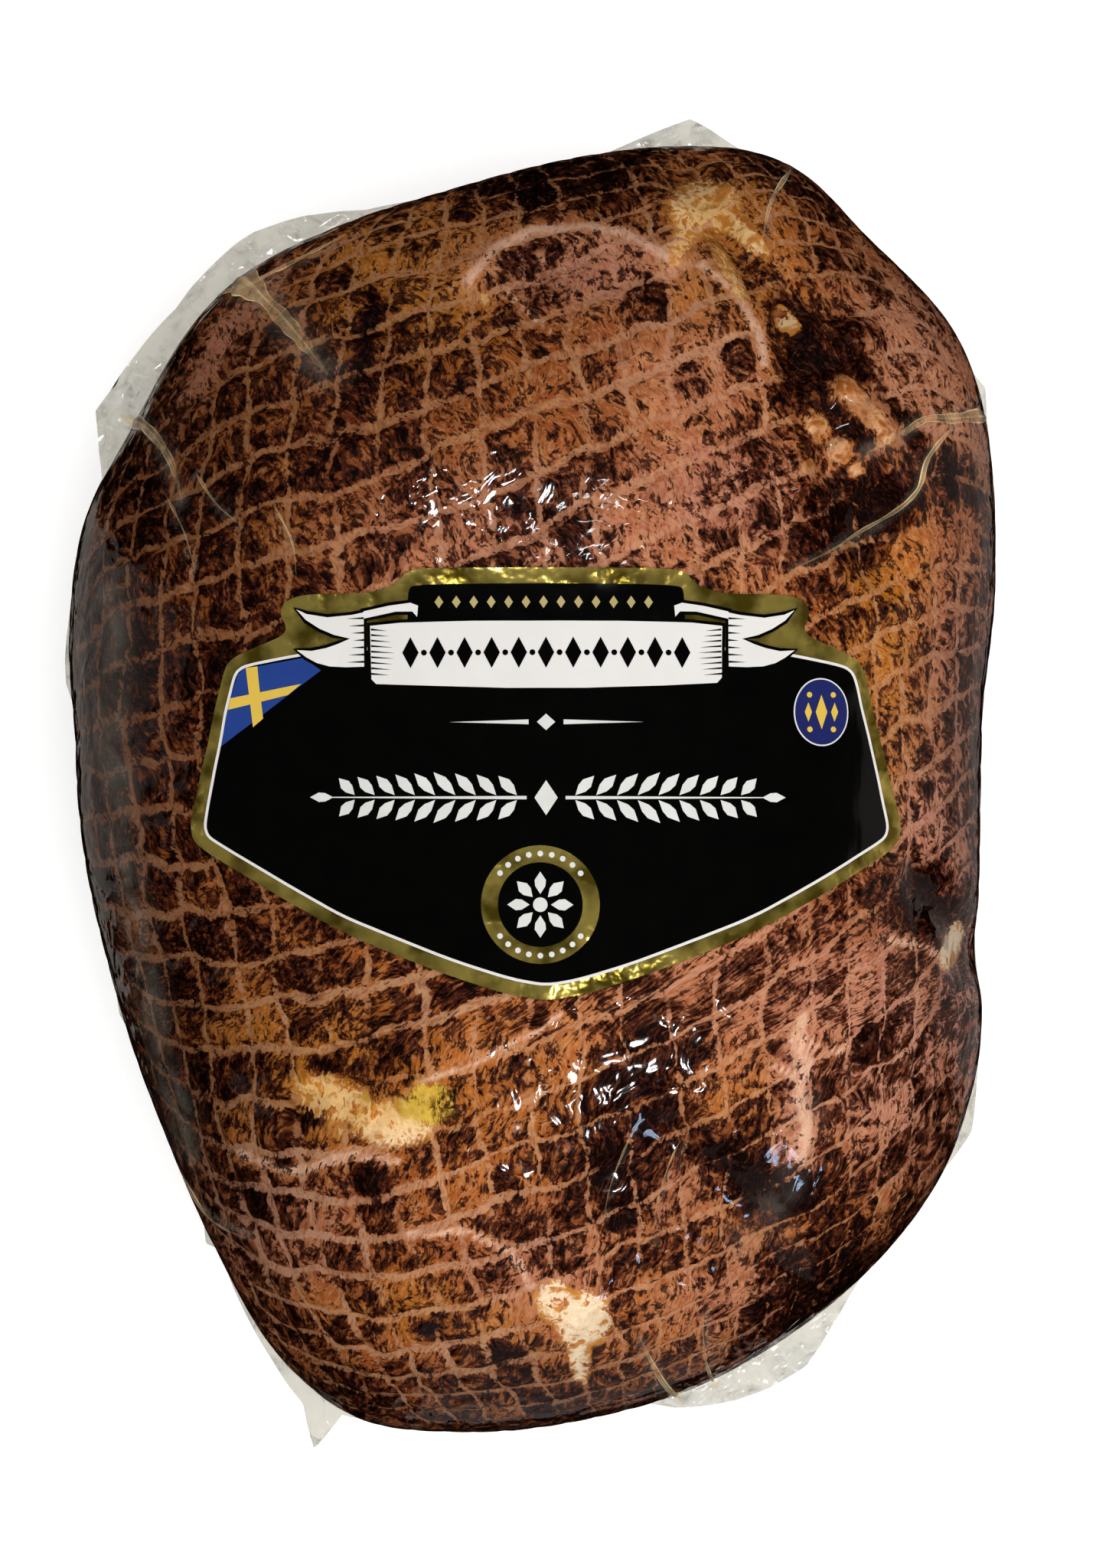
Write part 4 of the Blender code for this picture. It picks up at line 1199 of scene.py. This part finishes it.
def mirrored(points):
    """A shape turned over, left to right, with its points still in the same sense."""
    return [(-x, y) for x, y in reversed(points)]


FIELD_HALF = [
    (0, 27), (40, 26.8), (51, 25.6), (62.9, 23.4), (65.2, 21.8), (66.6, 17.0), (71.6, -6.0),
    (72.4, -10.6), (71.7, -12.9), (68.6, -15.0), (53, -23.9), (42.5, -29.4), (31, -33.8),
    (18, -38.7), (7, -42.1), (0, -43.3),
]
FIELD = [(-x, y) for x, y in FIELD_HALF] + FIELD_HALF[-2:0:-1]
TOP_PLATE = [(-28.6, 26), (28.6, 26), (28.6, 38), (27.4, 39.7), (-27.4, 39.7), (-28.6, 38)]
CORNER = [(-63.2, 22.4), (-64.4, 21.2), (-66.0, 16.6), (-68.3, 6.2), (-46.8, 22.0), (-50.4, 24.6)]
CORNER_BANDS = [
    [(-62.6, 22.6), (-61.4, 10.2), (-59.2, 12.0), (-60.2, 22.9)],
    [(-66.0, 16.3), (-66.5, 13.9), (-53.8, 16.9), (-51.0, 19.2)],
]
DISC_MIDDLE = (57.6, 13.4)
RING_MIDDLE = (-1.2, -26.4)
# Half of the ribbon: its forked tail, the fold behind it, and the panel, each clockwise
TAIL_LEFT = [
    (-51.8, 34.6), (-49.6, 33.6), (-45.3, 32.9), (-40.1, 33.4), (-37.7, 33.9), (-37.7, 22.7),
    (-41.5, 22.6), (-45.0, 22.8), (-47.6, 23.5), (-49.8, 24.7), (-51.8, 26.2), (-48.6, 26.0),
    (-45.6, 26.6), (-43.2, 27.4), (-40.6, 28.5), (-44.0, 29.3), (-47.0, 30.6), (-49.8, 32.4),
]
FOLD_LEFT = [
    (-37.7, 34.1), (-32.5, 35.2), (-28.0, 35.8), (-26.4, 35.2), (-26.6, 32.9), (-27.6, 34.0),
    (-31.0, 34.0), (-37.7, 32.6),
]
PANEL = [
    (-36.4, 31.1), (-30, 31.7), (-15, 32.0), (15, 32.0), (30, 31.7), (36.4, 31.1), (36.2, 20.4),
    (35.2, 19.3), (24, 18.7), (8, 18.2), (-8, 18.2), (-24, 18.7), (-35.2, 19.1), (-36.2, 20.1),
]
RIBBON_FACES = [
    TAIL_LEFT[::-1], mirrored(TAIL_LEFT[::-1]), FOLD_LEFT[::-1], mirrored(FOLD_LEFT[::-1]),
    PANEL[::-1],
]
RIBBON_EDGE = 0.65
DOT = 0.6


def make_label():
    foil = gold_foil()
    white = coated_print("white_ink", "#CAC7C3", "#C2BFBA", 0.4)
    black = coated_print("black_ink", "#020202", "#060605", 0.12)
    blue = coated_print("blue_ink", "#16306E", "#1C3A80", 0.25)
    navy = coated_print("navy_ink", "#141B4E", "#182058", 0.25)
    yellow = coated_print("yellow_ink", "#C9A83E", "#BC9C38", 0.3)
    pale_gold = coated_print("pale_gold_ink", "#A5935C", "#8E7E4C", 0.35)
    silver = coated_print("silver_ink", "#C9C8C4", "#B4B3AE", 0.3)
    label_stock(foil)
    field = eased(shifted(FIELD))
    layer_object("label_keyline", [field], 1, white)
    layer_object("label_field", [inset(field, KEYLINE_WIDTH)], 2, black)
    layer_object("label_plate", [eased(shifted(TOP_PLATE))], 2.6, black)
    for name, shapes, level, ink in (
        ("corner", [CORNER], 3, blue),
        ("corner_bands", CORNER_BANDS, 4, yellow),
        ("ribbon_edge", [inset(shape, -RIBBON_EDGE) for shape in RIBBON_FACES], 5, black),
        ("ribbon", RIBBON_FACES, 6, white),
        ("ribbon_strokes", ribbon_strokes(), 7, black),
        ("ribbon_frieze", ribbon_frieze(), 7, black),
        ("plate_marks", plate_marks(), 3.6, pale_gold),
        ("disc_rim", [oval(*DISC_MIDDLE, 6.1, 7.1)], 3, white),
        ("disc", [oval(*DISC_MIDDLE, 5.8, 6.8)], 4, navy),
        ("disc_marks", disc_marks(), 5, yellow),
        ("ring", [oval(*RING_MIDDLE, 12.2, 12.2, 72)], 3, foil),
        ("ring_middle", [oval(*RING_MIDDLE, 8.7, 8.7, 72)], 4, black),
        ("ring_dots", ring_dots(), 4, silver),
        ("rosette", rosette(*RING_MIDDLE), 5, silver),
        ("garland", garland(), 3, silver),
    ):
        layer_object("label_" + name, [shifted(shape) for shape in shapes], level, ink)


def ribbon_strokes():
    """Short tapered shading strokes at the ribbon's folds."""
    strokes = []
    for side in (-1, 1):
        for k in range(9):
            y = 21.0 + k * 1.14
            length = 5.2 - 0.4 * abs(k - 3.5)
            strokes.append([
                (side * 36.2, y + 0.42), (side * (36.2 - length), y - 0.1), (side * 36.2, y + 0.02),
            ])
        for k in range(7):
            y = 23.6 + k * 1.5
            length = 2.2 + 0.5 * abs(k - 3)
            strokes.append([
                (side * 37.7, y + 0.30), (side * (37.7 + length), y), (side * 37.7, y - 0.12),
            ])
    return strokes


def lozenge(x, y, half_wide, half_high):
    """An upright lozenge round a middle."""
    return [(x - half_wide, y), (x, y - half_high), (x + half_wide, y), (x, y + half_high)]


def ribbon_frieze():
    """Upright lozenges with dots between them along the ribbon's panel."""
    shapes = [lozenge(5.6 * k, 25.5, 1.7, 3.2) for k in range(-5, 6)]
    shapes += [oval(5.6 * k + 2.8, 25.5, DOT, DOT, 16) for k in range(-5, 5)]
    return shapes


def plate_marks():
    """A row of small lozenges on the upper plate."""
    return [lozenge(3.6 * k - 0.5, 35.9, 0.9, 1.3) for k in range(-6, 7)]


def disc_marks():
    """A lozenge between two smaller ones, with a dot at each quarter of the disc."""
    x, y = DISC_MIDDLE
    shapes = [lozenge(x, y, 1.3, 3.6)] + [lozenge(x + 2.9 * side, y, 0.8, 2.0) for side in (-1, 1)]
    for side in (-1, 1):
        shapes += [oval(x + 2.6 * side, y + 3.6 * up, DOT, DOT, 12) for up in (-1, 1)]
    return shapes


def ring_dots():
    """Dots round the ring, in an arc above and an arc below."""
    dots = []
    for middle in (90, 270):
        for k in range(-4, 5):
            turn = math.radians(middle + 13 * k)
            x = RING_MIDDLE[0] + 10.5 * math.cos(turn)
            dots.append(oval(x, RING_MIDDLE[1] + 10.5 * math.sin(turn), DOT, DOT, 12))
    return dots


def leaf(x, y, turn, length, half):
    """A pointed leaf from its stalk's end, turned in degrees."""
    c, s = math.cos(math.radians(turn)), math.sin(math.radians(turn))
    shape = [(0, 0), (0.35, -0.8), (0.62, -0.9), (1, 0), (0.62, 0.9), (0.35, 0.8)]
    return [
        (x + px * length * c - py * half * s, y + px * length * s + py * half * c)
        for px, py in shape
    ]


def rosette(x, y):
    """Eight leaf-shaped petals and a dot."""
    shapes = [oval(x, y, 1.5, 1.5, 24)]
    for k in range(8):
        turn = 45 * k
        c, s = math.cos(math.radians(turn)), math.sin(math.radians(turn))
        shapes.append(leaf(x + 2.2 * c, y + 2.2 * s, turn, 4.6, 1.3))
    return shapes


def garland():
    """Two leafy sprigs that meet at a lozenge, and a tapered rule with a lozenge above them."""
    shapes = []
    low = -4.4
    for side in (-1, 1):
        shapes.append([
            (side * 4, low + 0.35), (side * 45.5, low + 0.1), (side * 45.5, low - 0.1),
            (side * 4, low - 0.35),
        ])
        for k in range(9):
            x = side * (6.0 + 4.25 * k)
            length = 6.6 - 0.35 * abs(k - 3)
            for up in (-1, 1):
                turn = up * 46 if side > 0 else 180 - up * 46
                shapes.append(leaf(x, low + up * 0.5, turn, length, 1.25))
        shapes.append(leaf(side * 44.5, low, 0 if side > 0 else 180, 5.0, 1.1))
        shapes.append([(side * 3.6, 11.7), (side * 20.0, 11.2), (side * 3.6, 10.7)])
    return shapes + [lozenge(0, low, 2.4, 3.6), lozenge(0, 11.2, 1.9, 1.7)]


def make_stage():
    floor_mesh = bpy.data.meshes.new("table")
    far = 6.0
    corners = [(-far, -far, 0), (far, -far, 0), (far, far, 0), (-far, far, 0)]
    floor_mesh.from_pydata(corners, [], [(0, 1, 2, 3)])
    floor = bpy.data.objects.new("table", floor_mesh)
    floor_mesh.materials.append(table_top())
    bpy.context.scene.collection.objects.link(floor)
    floor.visible_glossy = False


def lamp(name, place, aim, size, power, colour="#FFFFFF", glint=False):
    """A soft rectangular lamp. A glint lamp only shows as a reflection, as a far bare bulb does."""
    light = bpy.data.lights.new(name, "AREA")
    light.shape = "RECTANGLE"
    light.size, light.size_y = size
    light.energy = power
    light.color = linear(colour)[:3]
    made = bpy.data.objects.new(name, light)
    bpy.context.scene.collection.objects.link(made)
    made.location = place
    way = made.location.copy()
    way.x, way.y, way.z = (aim[k] - place[k] for k in range(3))
    made.rotation_euler = way.to_track_quat("-Z", "Y").to_euler()
    made.visible_glossy = glint
    made.visible_diffuse = not glint


def make_light():
    world = bpy.data.worlds.new("studio")
    bpy.context.scene.world = world
    world.use_nodes = True
    sky = world.node_tree.nodes["Background"]
    sky.inputs["Color"].default_value = WHITE
    sky.inputs["Strength"].default_value = 0.90
    world.cycles_visibility.glossy = False
    middle = (0, 0, 0.08)
    lamp("overhead_softbox", (0.5, -0.35, 1.7), middle, (1.8, 1.6), 24)
    lamp("left_panel", (-1.6, 0.1, -0.6), middle, (0.9, 3.2), 2.8, "#F0E6DC", glint=True)
    lamp("right_panel", (1.6, 0.0, -0.62), middle, (0.9, 3.2), 2.2, "#F4E4DC", glint=True)
    lamp("near_panel", (0.3, -1.7, -0.4), middle, (0.9, 2.4), 1.6, "#F4E8E4", glint=True)
    lamp("low_window", (1.9, -2.7, 1.45), middle, (0.40, 0.34), 8.0, "#C4DAFF", glint=True)
    lamp("strip_above", (0.10, 0.60, 1.45), middle, (0.20, 0.04), 0.9, glint=True)
    lamp("bulb_above", (-0.24, 0.80, 1.45), middle, (0.08, 0.08), 3.2, glint=True)
    lamp("bulb_below", (0.42, -1.00, 1.45), middle, (0.09, 0.09), 3.8, glint=True)


SENSOR = 24.0
FRAME_PER_DISTANCE = 0.3514


def make_camera():
    camera = bpy.data.cameras.new("camera")
    made = bpy.data.objects.new("camera", camera)
    bpy.context.scene.collection.objects.link(made)
    made.location = (0.0034, 0.0016, 1.054)
    camera.sensor_fit = "VERTICAL"
    camera.sensor_height = SENSOR
    camera.lens = SENSOR / FRAME_PER_DISTANCE
    camera.clip_start = 0.01
    bpy.context.scene.camera = made


make_ham_and_film()
make_label()
make_stage()
make_light()
make_camera()
bpy.context.scene.view_settings.view_transform = "Standard"
